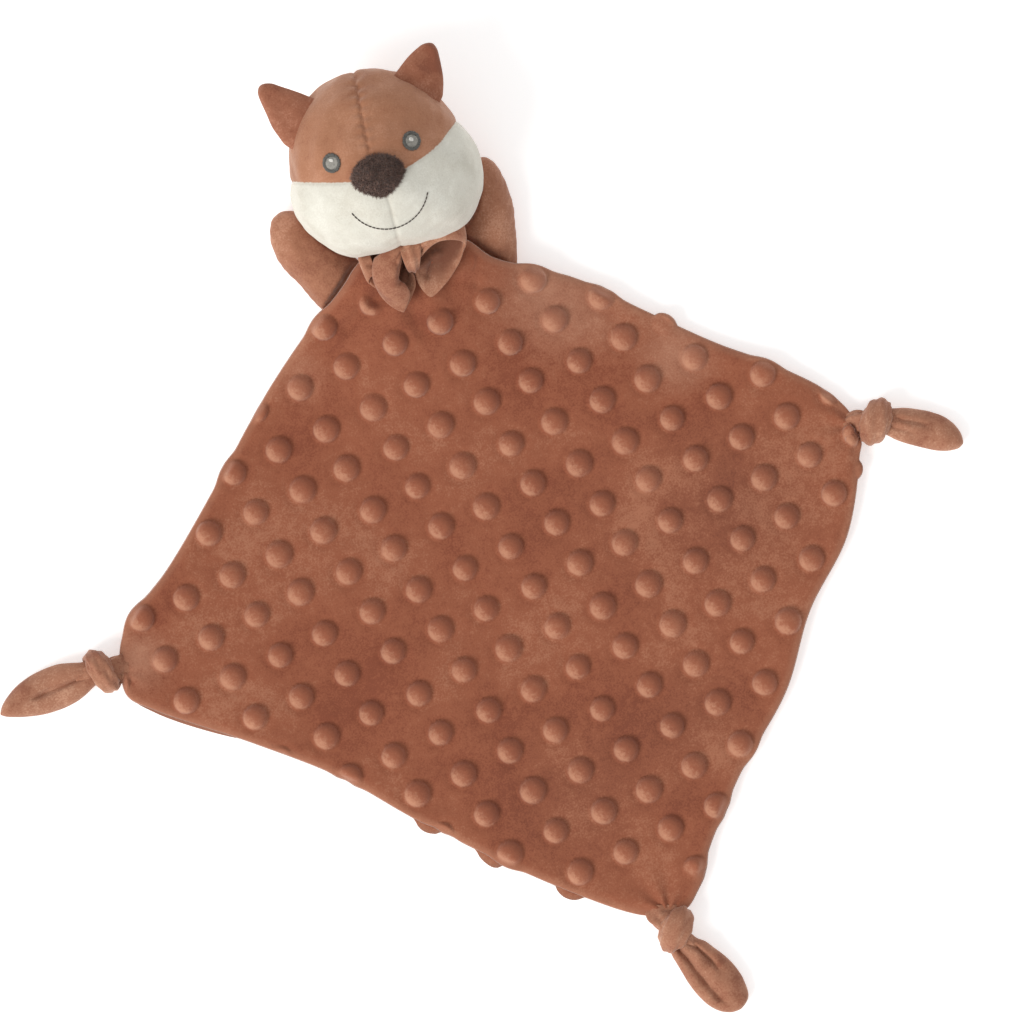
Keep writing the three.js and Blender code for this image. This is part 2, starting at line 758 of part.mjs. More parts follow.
// Ears: each is a front and a back panel of one thin padded triangle. Its root is round about the
// line that it folds on, just outside the head, and its tip leans towards the crown.
const earWidthShares = [[0, 1], [0.22, 0.88], [0.45, 0.68], [0.7, 0.43], [0.88, 0.25], [0.97, 0.12]];
const earBackShares = [-1, -0.5, 0, 0.5, 1];
function earSeat(spoke, grow, side) {
  const low = earRaise - earRootRadius;
  const seatAt = (reach) =>
    v3(faceShift + reach * Math.cos(spoke), reach * Math.sin(spoke), earRaise);
  const touchesHead = (seat) =>
    earBackShares.some((share) => {
      const back = seat.clone().addScaledVector(side, (share * earWidth) / 2);
      back.addScaledVector(grow, -earRootRadius - seamGap);
      const halfDepth = headHalfDepth(back.y);
      if (halfDepth <= low) return false;
      const halfWidth = headHalfWidth(back.y) * Math.sqrt(1 - (low / halfDepth) ** 2);
      return Math.abs(back.x - headMiddle(back.y)) < halfWidth;
    });
  const seatStep = seamGap / 4;
  let reach = headWidth / 4;
  while (touchesHead(seatAt(reach))) reach += seatStep;
  return seatAt(reach);
}

// In its own frame an ear grows along x from the line that it folds on, and faces +z
function earBody(length, lean) {
  const side = v3(0, 1, 0);
  const up = v3(0, 0, 1);
  const rings = [];
  for (const rootTurn of [22.5, 45, 67.5]) {
    const turned = radians(rootTurn);
    const middle = v3(-earRootRadius * Math.cos(turned), 0, 0);
    rings.push(ovalRing(middle, side, up, earWidth / 2, earRootRadius * Math.sin(turned), earSides));
  }
  const at = (share) => v3(length * share, lean * share, -earCup * share ** 2);
  for (const [share, widthShare] of earWidthShares) {
    const halfThickness = THREE.MathUtils.lerp(earRootRadius, earTipThickness / 2, share);
    rings.push(ovalRing(at(share), side, up, (earWidth / 2) * widthShare, halfThickness, earSides));
  }
  return solidOf(loft(rings, v3(-earRootRadius, 0, 0), at(1)));
}
const allSides = [[-overrun, -overrun], [overrun, -overrun], [overrun, overrun], [-overrun, overrun]];
const ears = [
  ['left', radians(180 - earTurn), earLeftLength, earLeftLean],
  ['right', radians(earTurn), earRightLength, earRightLean],
];
for (const [side, turn, length, lean] of ears) {
  const grow = v3(Math.cos(turn), Math.sin(turn), 0);
  const foldLine = v3(-Math.sin(turn), Math.cos(turn), 0);
  const seat = earSeat(turn, grow, foldLine);
  const placed = new THREE.Matrix4().makeRotationZ(turn).setPosition(seat);
  for (const [face, low, high] of [['front', halfGap, overrun], ['back', -overrun, -halfGap]]) {
    const panel = geometryOf(earBody(length, lean).intersect(prism(allSides, low, high)));
    addPiece(`ear_${face}_${side}`, panel.applyMatrix4(placed), finishes.headVelour, head);
  }
  const foldPoint = seat.clone().applyMatrix4(headFrame);
  printHinge(`${side} ear`, foldPoint, foldLine.clone().transformDirection(headFrame));
}

// The blanket's outline pushed outwards, for what ends at its edge
function grownOutline(by) {
  return outline.map(([x, y], i) => {
    const [px, py] = outline[(i + outline.length - 1) % outline.length];
    const [nx, ny] = outline[(i + 1) % outline.length];
    const length = Math.hypot(nx - px, ny - py);
    return [x + ((ny - py) / length) * by, y - ((nx - px) / length) * by];
  });
}

// Arms: rings swell from the folding root to the paw. The head and the blanket that lie on an arm
// press its top, and its underside lies flat on the table.
const armRootShares = [0.35, 0.75];
const armSwellShares = [
  [0, 0.88, 0], [0.2, 0.93, 0.4], [0.42, 0.98, 0.84], [0.66, 1, 1], [0.86, 0.92, 0.96],
  [1.02, 0.74, 0.78], [1.13, 0.48, 0.5],
];
const armEndShare = 1.19;
function armBody(arm, inset, sides) {
  const root = v3(arm.rootX, arm.rootY, arm.rootRadius);
  const turn = radians(arm.turn);
  const grow = v3(Math.cos(turn), Math.sin(turn), 0);
  const side = v3(-Math.sin(turn), Math.cos(turn), 0);
  const up = v3(0, 0, 1);
  const rootReach = arm.rootRadius - inset;
  const rings = armRootShares.map((share) => {
    const middle = root.clone().addScaledVector(grow, -rootReach * Math.sqrt(1 - share ** 2));
    const halfWidth = (armWidth / 2) * armSwellShares[0][1] - inset;
    return ovalRing(middle, side, up, halfWidth, rootReach * share, sides);
  });
  for (const [share, widthShare, riseShare] of armSwellShares) {
    const halfHeight = THREE.MathUtils.lerp(arm.rootRadius, armThickness / 2, riseShare);
    const middle = root.clone().addScaledVector(grow, (arm.length - inset) * share);
    middle.z = share > 1 ? armThickness / 2 : halfHeight;
    rings.push(ovalRing(middle, side, up, (armWidth / 2) * widthShare - inset, halfHeight - inset, sides));
  }
  const end = root.clone().addScaledVector(grow, arm.length * armEndShare - inset);
  end.z = armThickness / 2;
  const pressedByHead = headBody(-armHeadRoom - inset, headInnerSides).transform(headFrame.elements);
  const pressedByBlanket = prism(grownOutline(threadGap + inset), arm.blanketRoom - inset, overrun);
  return solidOf(loft(rings, root.clone().addScaledVector(grow, -rootReach), end))
    .subtract(pressedByHead)
    .subtract(pressedByBlanket)
    .intersect(aboveFloor(overall).translate(0, 0, inset));
}

// All that lies above or below an arm's side seam. Seen from its side, the seam climbs from the
// root to the paw.
function seamSide(arm, top) {
  const lift = arm.rootRadius + top * halfGap;
  const pawLift = armSeamHeight + top * halfGap;
  const profile = [
    [-overrun, lift], [0, lift], [arm.length / 2, pawLift], [arm.length + overrun, pawLift],
    [arm.length + overrun, top * overrun], [-overrun, top * overrun],
  ];
  const shape = new THREE.Shape(profile.map(([along, z]) => new THREE.Vector2(along, z)));
  const wall = new THREE.ExtrudeGeometry(shape, { depth: overrun + overrun, bevelEnabled: false });
  wall.translate(0, 0, -overrun).rotateX(Math.PI / 2);
  return solidOf(wall.rotateZ(radians(arm.turn)).translate(arm.rootX, arm.rootY, 0));
}
for (const [side, arm] of [['left', leftArm], ['right', rightArm]]) {
  const turn = radians(arm.turn);
  const skin = armBody(arm, 0, armOuterSides).subtract(armBody(arm, armSkin, armInnerSides));
  const fill = armBody(arm, armSkin + seamGap, armInnerSides);
  addPiece(`arm_front_${side}`, geometryOf(skin.intersect(seamSide(arm, 1))), finishes.velour);
  addPiece(`arm_back_${side}`, geometryOf(skin.intersect(seamSide(arm, -1))), finishes.velour);
  addPiece(`arm_stuffing_${side}`, geometryOf(fill), finishes.fibreFill);
  const foldPoint = v3(arm.rootX, arm.rootY, arm.rootRadius);
  printHinge(`${side} arm`, foldPoint, v3(-Math.sin(turn), Math.cos(turn), 0));
}

// Bow wing: a band that leaves the pinch, folds over at its far end and comes back, widening on
// the way out. It falls away from the pinch, its edges droop further, and it is twisted so that
// its lower opening looks up.
const bowRootShare = 0.05;
function bowWing({ sign, reach, width, ...turns }) {
  const fall = radians(turns.fallTurn);
  const droop = radians(turns.droopTurn);
  const twist = radians(bowTwistTurn);
  const outward = v3(sign * Math.cos(fall), -Math.sin(fall), 0);
  const sideways = v3(sign * Math.sin(droop), Math.cos(droop), 0);
  const across = sideways.clone().multiplyScalar(Math.cos(twist)).setZ(-Math.sin(twist));
  const opening = sideways.clone().multiplyScalar(Math.sin(twist)).setZ(Math.cos(twist));
  const at = (share) => {
    const turn = Math.PI * share;
    return v3(bowX, bowY, bowZ)
      .addScaledVector(outward, reach * Math.sin(turn))
      .addScaledVector(opening, -bowLoop * Math.cos(turn) * Math.sin(turn));
  };
  const rings = [];
  const step = bowRootShare / bowSteps;
  for (let k = 0; k <= bowSteps; k++) {
    const share = THREE.MathUtils.lerp(bowRootShare, 1 - bowRootShare, k / bowSteps);
    const ahead = at(share + step).sub(at(share - step)).normalize();
    const widening = Math.sin(Math.PI * share) ** bowWideningPower;
    const halfWidth = THREE.MathUtils.lerp(bowPinch, width, widening) / 2;
    const thick = across.clone().cross(ahead).normalize().multiplyScalar(-bowThickness / 2);
    const wide = across.clone().multiplyScalar(halfWidth);
    const corners = [[1, 1], [-1, 1], [-1, -1], [1, -1]];
    rings.push(corners.map(([w, t]) => at(share).addScaledVector(wide, w).addScaledVector(thick, t)));
  }
  const wing = loft(rings);
  wing.computeBoundingBox();
  const innermost = sign > 0 ? wing.boundingBox.min.x : wing.boundingBox.max.x;
  return wing.translate(bowX + sign * halfGap - innermost, 0, 0);
}
addPiece('bow_wing_left', bowWing(leftWing), finishes.velour);
addPiece('bow_wing_right', bowWing(rightWing), finishes.velour);
const bowRingProfile = [[0, -1], [1, -1], [1, 1], [0, 1], [0, -1]].map(
  ([out, end]) => new THREE.Vector2(bowRingRadius + out * bowThickness, (end * bowRingWidth) / 2),
);
const bowRing = new THREE.LatheGeometry(bowRingProfile, bowRingSides);
bowRing.rotateZ(-Math.PI / 2).translate(bowX, bowY, bowZ);
addPiece('bow_centre_band', bowRing, finishes.velour);

// Overhand knot, as a path in its own frame: x outwards, y to the left, z up. The middle of the
// path crosses over both ends, and the same curve serves either hand.
const knotShares = { travel: 0.23, bight: 1.03, eight: 0.98, lean: 0.61, tilt: 0.5, weave: 0.86 };
function knotPath(share) {
  const t = Math.PI * share;
  const outwards = knotShares.travel * t - knotShares.bight * Math.sin(t);
  return v3(
    strapPitch * knotStretchShare * outwards,
    strapPitch * (-knotShares.eight * Math.sin(2 * t) - knotShares.lean * Math.sin(t)),
    strapPitch * (knotShares.tilt * Math.cos(t) + knotShares.weave * Math.cos(2 * t)),
  );
}
const tubeRadius = (strapPitch - strapGap) / 2;
const knotRise = strapPitch * knotRiseShare + tubeRadius - restCut;

function knotFrame([cornerX, cornerY], { knotTurn }) {
  const turn = radians(knotTurn);
  const x = cornerX + knotDistance * Math.cos(turn);
  const y = cornerY + knotDistance * Math.sin(turn);
  return new THREE.Matrix4().makeRotationZ(turn).setPosition(x, y, 0);
}
function strapHinge(corner, strap) {
  const place = v3(hingeReach, -hingeOffset * strap.handed, knotRise);
  return place.applyMatrix4(knotFrame(corner, strap));
}

function strapPoints(strap) {
  const points = [];
  points.push(v3(-knotDistance - strapNeckInset, 0, seamLevel + seamGap));
  points.push(v3(-knotDistance, hingeOffset / 2, seamLevel + tubeRadius / 2));
  for (let k = 0; k <= knotSteps; k++) {
    const share = THREE.MathUtils.lerp(-knotEndShare, knotEndShare, k / knotSteps);
    points.push(knotPath(share).add(v3(0, 0, knotRise)));
  }
  points.push(v3(hingeReach, -hingeOffset, knotRise));
  points.forEach((p) => (p.y *= strap.handed));
  return points;
}

// The least clear distance between stretches of one tube that aren't neighbours along it
function leastSelfGap(points) {
  const neighbourReach = tubeRadius * Math.PI;
  let least = Infinity;
  const travelled = [0];
  points.slice(1).forEach((p, i) => travelled.push(travelled[i] + p.distanceTo(points[i])));
  points.forEach((p, i) => {
    points.forEach((q, j) => {
      const isApart = travelled[j] - travelled[i] > neighbourReach;
      if (isApart) least = Math.min(least, p.distanceTo(q));
    });
  });
  return least - tubeRadius * 2;
}

function knottedStrap(corner, strap) {
  const points = strapPoints(strap);
  const neckRingCount = 4;
  const endRingCount = 2;
  const forward = (k) => {
    const after = points[Math.min(k + 1, points.length - 1)];
    return after.clone().sub(points[Math.max(k - 1, 0)]).normalize();
  };
  let ahead = forward(0);
  const side = v3(0, 0, 1).cross(ahead).normalize();
  const rings = points.map((p, k) => {
    side.applyQuaternion(new THREE.Quaternion().setFromUnitVectors(ahead, forward(k)));
    ahead = forward(k);
    const up = ahead.clone().cross(side);
    const neck = Math.max(1 - k / neckRingCount, 0);
    const halfWidth = THREE.MathUtils.lerp(tubeRadius, strapNeckWidth / 2, neck);
    const halfHeight = THREE.MathUtils.lerp(tubeRadius, strapNeckHeight / 2, neck);
    const end = Math.max(1 - (points.length - 1 - k) / endRingCount, 0);
    const swell = 1 + end * (strapEndShare - 1);
    return ovalRing(p, side, up, halfWidth * swell, halfHeight * swell, strapSides);
  });
  const frame = knotFrame(corner, strap);
  const hinge = strapHinge(corner, strap);
  const tailRoom = ball(hinge, tailRootRadius + seamGap, tailRoomSides, tailRoomRings);
  console.log(`least gap in the ${strap.name} knot: ${leastSelfGap(points).toFixed(2)} mm`);
  return solidOf(loft(rings).applyMatrix4(frame))
    .subtract(prism(grownOutline(seamGap), -overrun, overrun))
    .subtract(tailRoom)
    .intersect(aboveFloor(overall));
}

// Tail: a padded leaf that swells from a round root, creased lengthwise where the knot gathers it
const tailRootShares = [-0.85, -0.5, 0];
const tailSwellShares = [
  [0.08, 0.56, 0.85], [0.22, 0.72, 0.93], [0.4, 0.88, 1], [0.58, 0.98, 1], [0.74, 1, 0.92],
  [0.87, 0.86, 0.76], [0.96, 0.54, 0.5],
];
function tail(corner, strap) {
  const hinge = strapHinge(corner, strap);
  const turn = radians(strap.tailTurn);
  const grow = v3(Math.cos(turn), Math.sin(turn), 0);
  const side = v3(-Math.sin(turn), Math.cos(turn), 0);
  const up = v3(0, 0, 1);
  printHinge(`${strap.name} tail`, hinge, grow.clone().cross(up));
  const rings = tailRootShares.map((share) => {
    const middle = hinge.clone().addScaledVector(grow, tailRootRadius * share);
    const reach = tailRootRadius * Math.sqrt(1 - share ** 2);
    return ovalRing(middle, side, up, reach, reach, tailSides);
  });
  for (const [share, widthShare, heightShare] of tailSwellShares) {
    const halfHeight = (tailHeight / 2) * heightShare;
    const middle = hinge.clone().addScaledVector(grow, strap.tailLength * share);
    const settled = Math.min(share / tailSettleShare, 1);
    middle.z = THREE.MathUtils.lerp(hinge.z, tailHeight / 2 - restCut, settled);
    const crease = (angle) => {
      const isPleat = strap.pleatTurns.includes(Math.round(THREE.MathUtils.radToDeg(angle)));
      return isPleat ? 1 - tailPleatShare * (1 - share) : 1;
    };
    const halfWidth = (strap.tailWidth / 2) * widthShare;
    rings.push(ovalRing(middle, side, up, halfWidth, halfHeight, tailSides, crease));
  }
  const start = hinge.clone().addScaledVector(grow, -tailRootRadius);
  const end = hinge.clone().addScaledVector(grow, strap.tailLength);
  end.z = tailHeight / 2 - restCut;
  return solidOf(loft(rings, start, end)).intersect(aboveFloor(overall));
}

const straps = [
  ['right', rightCorner, rightStrap],
  ['left', leftCorner, leftStrap],
  ['bottom', bottomCorner, bottomStrap],
];
for (const [name, corner, strap] of straps) {
  strap.name = name;
  addPiece(`corner_knot_${name}`, geometryOf(knottedStrap(corner, strap)), finishes.velour);
  addPiece(`corner_tail_${name}`, geometryOf(tail(corner, strap)), finishes.velour);
}

toy.updateMatrixWorld(true);
export default toy;
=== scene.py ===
import json
import math
import bpy
import numpy as np
from mathutils import Matrix, Vector
from mathutils.bvhtree import BVHTree


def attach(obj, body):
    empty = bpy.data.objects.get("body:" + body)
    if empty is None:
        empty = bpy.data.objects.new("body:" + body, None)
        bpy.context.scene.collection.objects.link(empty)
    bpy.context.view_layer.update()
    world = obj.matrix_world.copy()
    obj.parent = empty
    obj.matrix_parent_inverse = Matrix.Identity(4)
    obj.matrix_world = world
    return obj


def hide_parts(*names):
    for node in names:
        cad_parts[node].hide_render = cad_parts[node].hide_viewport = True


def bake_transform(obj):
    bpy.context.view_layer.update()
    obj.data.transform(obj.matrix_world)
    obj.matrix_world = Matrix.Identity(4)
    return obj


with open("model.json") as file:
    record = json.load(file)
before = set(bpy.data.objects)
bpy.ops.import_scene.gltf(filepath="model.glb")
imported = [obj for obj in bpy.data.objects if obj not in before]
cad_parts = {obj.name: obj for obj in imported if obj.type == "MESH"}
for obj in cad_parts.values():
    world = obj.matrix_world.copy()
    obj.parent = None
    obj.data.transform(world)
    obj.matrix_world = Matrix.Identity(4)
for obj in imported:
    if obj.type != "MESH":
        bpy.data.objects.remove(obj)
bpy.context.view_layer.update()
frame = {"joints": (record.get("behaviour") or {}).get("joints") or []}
scene = bpy.context.scene
mm = 0.001
fullTurn = 2 * np.pi
print("frame: CAD loaded")

# camera, floor and light
camera = {"over": (20.8, 12.4), "turn": -20.5, "away": 12.0, "covers": 0.425, "farEnd": 40}
studio = {
    "floor": (0.93, 0.93, 0.93, 1), "floorPale": (0.94, 0.94, 0.94, 1), "floorReach": 3, "floorLevel": -0.0002,
    "glow": 0.42, "sky": 0.64, "key": 1.98, "keySpread": 30, "keyFrom": (-0.93, -0.37), "keyHeight": 39,
    "keyTint": (1.0, 0.985, 0.965),
}

eye = bpy.data.cameras.new("studioCamera")
eye.lens = eye.sensor_width * camera["away"] / camera["covers"]
eye.clip_end = camera["farEnd"]
eyeObject = bpy.data.objects.new("studioCamera", eye)
eyeObject.location = (camera["over"][0] * mm, camera["over"][1] * mm, camera["away"])
eyeObject.rotation_euler = (0, 0, math.radians(camera["turn"]))
scene.collection.objects.link(eyeObject)
scene.camera = eyeObject
scene.view_settings.view_transform = "Standard"


def tone(*screen):
    # a colour read on a screen, 0 to 255, as the light it stands for
    return (*((c / 255 / 12.92) if c <= 10 else ((c / 255 + 0.055) / 1.055) ** 2.4 for c in screen), 1)


# node trees
class Wire:
    # a value on its way through a tree; sums on it add Math nodes
    def __init__(self, board, socket):
        self.board = board
        self.socket = socket

    def sum(self, operation, other=0.0, swap=False):
        first, second = (other, self) if swap else (self, other)
        return self.board.node("ShaderNodeMath", {"Value": first, "Value_001": second}, operation=operation)

    def __add__(self, other):
        return self.sum("ADD", other)

    def __radd__(self, other):
        return self.sum("ADD", other, True)

    def __sub__(self, other):
        return self.sum("SUBTRACT", other)

    def __rsub__(self, other):
        return self.sum("SUBTRACT", other, True)

    def __mul__(self, other):
        return self.sum("MULTIPLY", other)

    def __rmul__(self, other):
        return self.sum("MULTIPLY", other, True)

    def __truediv__(self, other):
        return self.sum("DIVIDE", other)

    def __rtruediv__(self, other):
        return self.sum("DIVIDE", other, True)

    def __pow__(self, other):
        return self.sum("POWER", other)

    def also(self, name):
        # another output of the node that this value comes from
        return Wire(self.board, self.socket.node.outputs[name])


class Board:
    # a node tree with one way to add a node, and short names for the nodes that come often
    def __init__(self, tree):
        self.tree = tree

    def node(self, kind, sockets=None, out=0, **settings):
        made = self.tree.nodes.new(kind)
        for key, value in settings.items():
            setattr(made, key, value)
        for key, value in (sockets or {}).items():
            self.plug(made, key, value)
        return Wire(self, made.outputs[out])

    def plug(self, made, key, value):
        place = next((s for s in made.inputs if s.identifier == key), None)
        place = place or next(s for s in made.inputs if s.name == key and s.enabled)
        if isinstance(value, Wire):
            self.tree.links.new(value.socket, place)
        else:
            place.default_value = value

    def mix(self, share, first, second):
        sockets = {"Factor_Float": share, "A_Color": first, "B_Color": second}
        return self.node("ShaderNodeMix", sockets, 2, data_type="RGBA")

    def noise(self, scale, detail=2.0, roughness=0.5, distortion=0.0):
        sockets = {"Vector": self.place, "Scale": scale, "Detail": detail}
        return self.node("ShaderNodeTexNoise", {**sockets, "Roughness": roughness, "Distortion": distortion})

    def attribute(self, name):
        return self.node("ShaderNodeAttribute", out="Fac", attribute_name=name)

    def clamp(self, value, low, high, toLow=0.0, toHigh=1.0):
        # a smooth step from low to high
        sockets = {"Value": value, "From Min": low, "From Max": high, "To Min": toLow, "To Max": toHigh}
        return self.node("ShaderNodeMapRange", sockets, interpolation_type="SMOOTHSTEP")

    def bump(self, strength, distance, height):
        return self.node("ShaderNodeBump", {"Strength": strength, "Distance": distance, "Height": height})

    def split(self, vector):
        return self.node("ShaderNodeSeparateXYZ", {"Vector": vector})

    def named(self, name, kind="FLOAT"):
        return self.node("GeometryNodeInputNamedAttribute", {"Name": name}, data_type=kind)

    def store(self, geometry, name, value):
        sockets = {"Geometry": geometry, "Name": name, "Value": value}
        return self.node("GeometryNodeStoreNamedAttribute", sockets, data_type="FLOAT", domain="POINT")

    def luck(self, low, high, **others):
        # a random vector for each point
        sockets = {"Min": low, "Max": high, **others}
        return self.node("FunctionNodeRandomValue", sockets, data_type="FLOAT_VECTOR")


def newMaterial(name):
    material = bpy.data.materials.new(name)
    material.use_nodes = True
    material.node_tree.nodes.clear()
    board = Board(material.node_tree)
    board.place = board.node("ShaderNodeTexCoord", out="Object")
    return material, board


def finishMaterial(board, colour, roughness, others):
    sockets = {"Base Color": colour, "Roughness": roughness, "Specular IOR Level": 0.25, **others}
    shader = board.node("ShaderNodeBsdfPrincipled", sockets)
    end = board.tree.nodes.new("ShaderNodeOutputMaterial")
    board.plug(end, "Surface", shader)


# finishes
velours = {
    "blanketVelour": dict(base=(148, 86, 61), deep=(133, 72, 50), pale=(165, 107, 81), patch=22, sheen=0.5),
    "headVelour": dict(base=(168, 116, 87), deep=(157, 104, 77), pale=(181, 130, 102), patch=45, sheen=0.35),
    "earVelour": dict(base=(153, 97, 73), deep=(136, 80, 59), pale=(175, 120, 96), patch=60, sheen=0.5),
    "armVelour": dict(base=(162, 109, 83), deep=(144, 91, 69), pale=(184, 133, 107), patch=40, sheen=0.5),
    "bowVelour": dict(base=(165, 113, 88), deep=(145, 91, 69), pale=(190, 142, 116), patch=60, sheen=0.45),
    "creamVelour": dict(base=(215, 212, 200), deep=(206, 202, 189), pale=(224, 222, 211), patch=50),
}
pile = {
    "patch": 0.5, "tuft": 0.2, "hair": 0.3, "deep": 0.385, "base": 0.5, "pale": 0.635, "roughness": 0.78,
    "tuftScale": 260, "hairScale": 1300, "bumpTuftScale": 420, "bumpHairScale": 1700, "bumpHeight": 0.0006,
    "sheenRoughness": 0.45, "sheenTint": (0.93, 0.78, 0.7, 1), "headSheenTint": (0.95, 0.86, 0.8, 1),
    # painted shade inside the bow's loops; a pale tone for the blanket's patches, and a deep one for its pile and its
    # painted shade
    "hollow": (104, 60, 44), "brushedOpen": (180, 129, 104), "brushedClosed": (108, 62, 48),
    # a paler tint for the dots, a painted highlight for the flank of a dot that faces the key light, and a painted
    # sheen along the blanket's edge
    "dotFlank": (162, 96, 71), "dotPaintedHighlight": (199, 147, 118), "rim": (176, 124, 98),
    # darker tones for painted shade along the head's seams
    "headCrease": (120, 76, 56), "creamCrease": (170, 160, 142),
}


def velourColour(board, tones):
    # brushed patches where the pile leans one way or the other, then tufts, then single hairs
    patch = board.noise(tones["patch"], 3.0, 0.55, 0.6)
    tuft = board.noise(pile["tuftScale"], 3.0, 0.6)
    hair = board.noise(pile["hairScale"], 2.0, 0.6)
    lean = patch * pile["patch"] + tuft * pile["tuft"] + hair * pile["hair"]
    opening = board.clamp(lean, pile["deep"], pile["base"])
    colour = board.mix(opening, tone(*tones["deep"]), tone(*tones["base"]))
    return lean, board.mix(board.clamp(lean, pile["base"], pile["pale"]), colour, tone(*tones["pale"]))


def finishVelour(board, colour, lean, sheen, tint):
    tuft = board.noise(pile["bumpTuftScale"], 3.0, 0.6)
    hair = board.noise(pile["bumpHairScale"], 2.0, 0.7)
    normal = board.bump(0.5, pile["bumpHeight"], tuft * 0.55 + hair * 0.45)
    finishMaterial(board, colour, pile["roughness"] + lean * 0.2, {
        "Normal": normal, "Sheen Weight": sheen, "Sheen Roughness": pile["sheenRoughness"], "Sheen Tint": tint})


def velour(name, dotted=False, hollow=False):
    material, board = newMaterial(name)
    lean, colour = velourColour(board, velours[name])

    def over(share, label):
        return board.mix(share, colour, tone(*pile[label]))

    if hollow:
        # painted shade: inside a loop the colour is darkened, where shade falls
        colour = over(board.attribute("hollow") * 0.8, "hollow")
    if dotted:
        # listed patches over the pile, with fine speckle from the pile noise: pale where the pile lies open, deep
        # where it closes; the deep patches on the right and lower part of the cloth are also painted shade
        stroke = board.attribute("brushed") + (lean - 0.5) * 1.4
        colour = over(board.clamp(stroke, 0.0, 1.0), "brushedOpen")
        colour = over(board.clamp(stroke, -1.0, 0.0, 1.0, 0.0), "brushedClosed")
        # the dots are tinted a little paler than the cloth between them; painted highlight: the flank of a dot that
        # faces the key light is made paler still, as if lit
        flank = board.clamp(board.attribute("dot"), 0.04, 0.5)
        nap = board.attribute("nap") + (board.noise(620, 3.0, 0.7) - 0.5) * 1.6
        colour = over(flank * 0.4, "dotFlank")
        colour = over(flank * board.clamp(nap, -0.1, 0.9, 0.0, 0.62), "dotPaintedHighlight")
        # painted sheen: towards the blanket's rolled edge the colour turns paler, as velour shines where it turns away
        colour = over(board.clamp(board.attribute("rim"), 0.0, 1.0, 0.0, 0.35), "rim")
    finishVelour(board, colour, lean, velours[name]["sheen"], pile["sheenTint"])
    return material


def headVelour():
    # brown above the mask line and behind, cream below it
    material, board = newMaterial("headVelour")
    lean, brown = velourColour(board, velours["headVelour"])
    cream = velourColour(board, velours["creamVelour"])[1]
    mask = board.attribute("mask") + (board.noise(900, 2.0, 0.6) - 0.5) * 0.0009
    isCream = board.clamp(mask, -0.0003, 0.0003)
    colour = board.mix(isCream, brown, cream)
    # painted shade: towards every seam the colour darkens a little, as in the crease the seam pulls into the cloth
    crease = board.mix(isCream, tone(*pile["headCrease"]), tone(*pile["creamCrease"]))
    colour = board.mix(board.clamp(board.attribute("seam"), 0.0, 0.0014, 0.09, 0.0), colour, crease)
    finishVelour(board, colour, lean, velours["headVelour"]["sheen"], pile["headSheenTint"])
    return material


def threadFinish(name, light, shade, gloss):
    material, board = newMaterial(name)
    mottle = board.noise(900, 2.0, 0.6)
    sockets = {"Vector": board.place, "Scale": 1500.0, "Distortion": 2.0}
    ply = board.node("ShaderNodeTexWave", sockets, bands_direction="DIAGONAL")
    colour = board.mix(board.clamp(mottle * 0.6 + ply * 0.4, 0.3, 0.7), tone(*shade), tone(*light))
    normal = board.bump(0.4, 0.0002, ply)
    finishMaterial(board, colour, 1.0 - gloss + mottle * 0.15, {"Normal": normal, "Sheen Weight": 0.1})
    return material


def furFinish():
    material, board = newMaterial("nosePile")
    tuft = board.noise(420, 3.0, 0.6)
    strand = board.noise(2300, 2.0, 0.6)
    colour = board.mix(board.clamp(tuft * 0.5 + strand * 0.5, 0.38, 0.62), tone(80, 58, 50), tone(134, 106, 94))
    normal = board.bump(0.5, 0.0004, strand)
    finishMaterial(board, colour, 0.75 + tuft * 0.2, {"Normal": normal, "Sheen Weight": 0.25})
    return material


finishes = {
    "blanket": velour("blanketVelour", dotted=True),
    "head": headVelour(),
    "arm": velour("armVelour"),
    "ear": velour("earVelour"),
    # the bow's velour carries painted shade inside its loops
    "bow": velour("bowVelour", hollow=True),
    "eyeDark": threadFinish("eyeDarkThread", (112, 110, 104), (78, 78, 76), 0.5),
    "eyePale": threadFinish("eyePaleThread", (186, 183, 174), (122, 118, 112), 0.5),
    "eyeShine": threadFinish("eyeShineThread", (244, 243, 238), (206, 202, 192), 0.6),
    "mouth": threadFinish("mouthThread", (92, 82, 76), (66, 58, 54), 0.3),
    "seamStitch": threadFinish("seamThread", (160, 108, 82), (146, 95, 71), 0.3),
    "nose": furFinish(),
}
print("finishes: made")


# geometry trees
def newTree(name, **inputs):
    tree = bpy.data.node_groups.new(name, "GeometryNodeTree")

    def newSocket(label, direction, kind):
        return tree.interface.new_socket(label, in_out=direction, socket_type=f"NodeSocket{kind}")

    newSocket("Geometry", "INPUT", "Geometry")
    for label, value in inputs.items():
        newSocket(label, "INPUT", "Int" if isinstance(value, int) else "Float").default_value = value
    newSocket("material", "INPUT", "Material")
    newSocket("Geometry", "OUTPUT", "Geometry")
    board = Board(tree)
    start = board.node("NodeGroupInput")
    return tree, board, {s.name: Wire(board, s) for s in start.socket.node.outputs if s.name}


def endTree(board, geometry, material):
    whole = board.node("GeometryNodeRealizeInstances", {"Geometry": geometry})
    dressed = board.node("GeometryNodeSetMaterial", {"Geometry": whole, "Material": material})
    board.plug(board.tree.nodes.new("NodeGroupOutput"), "Geometry", dressed)
    return board.tree


def applied(piece, modifier):
    # the piece keeps what the modifier makes of its mesh
    graph = bpy.context.evaluated_depsgraph_get()
    changed = piece.evaluated_get(graph)
    made = bpy.data.meshes.new_from_object(changed, preserve_all_data_layers=True, depsgraph=graph)
    piece.modifiers.remove(modifier)
    piece.data = made
    made.shade_smooth()
    return piece


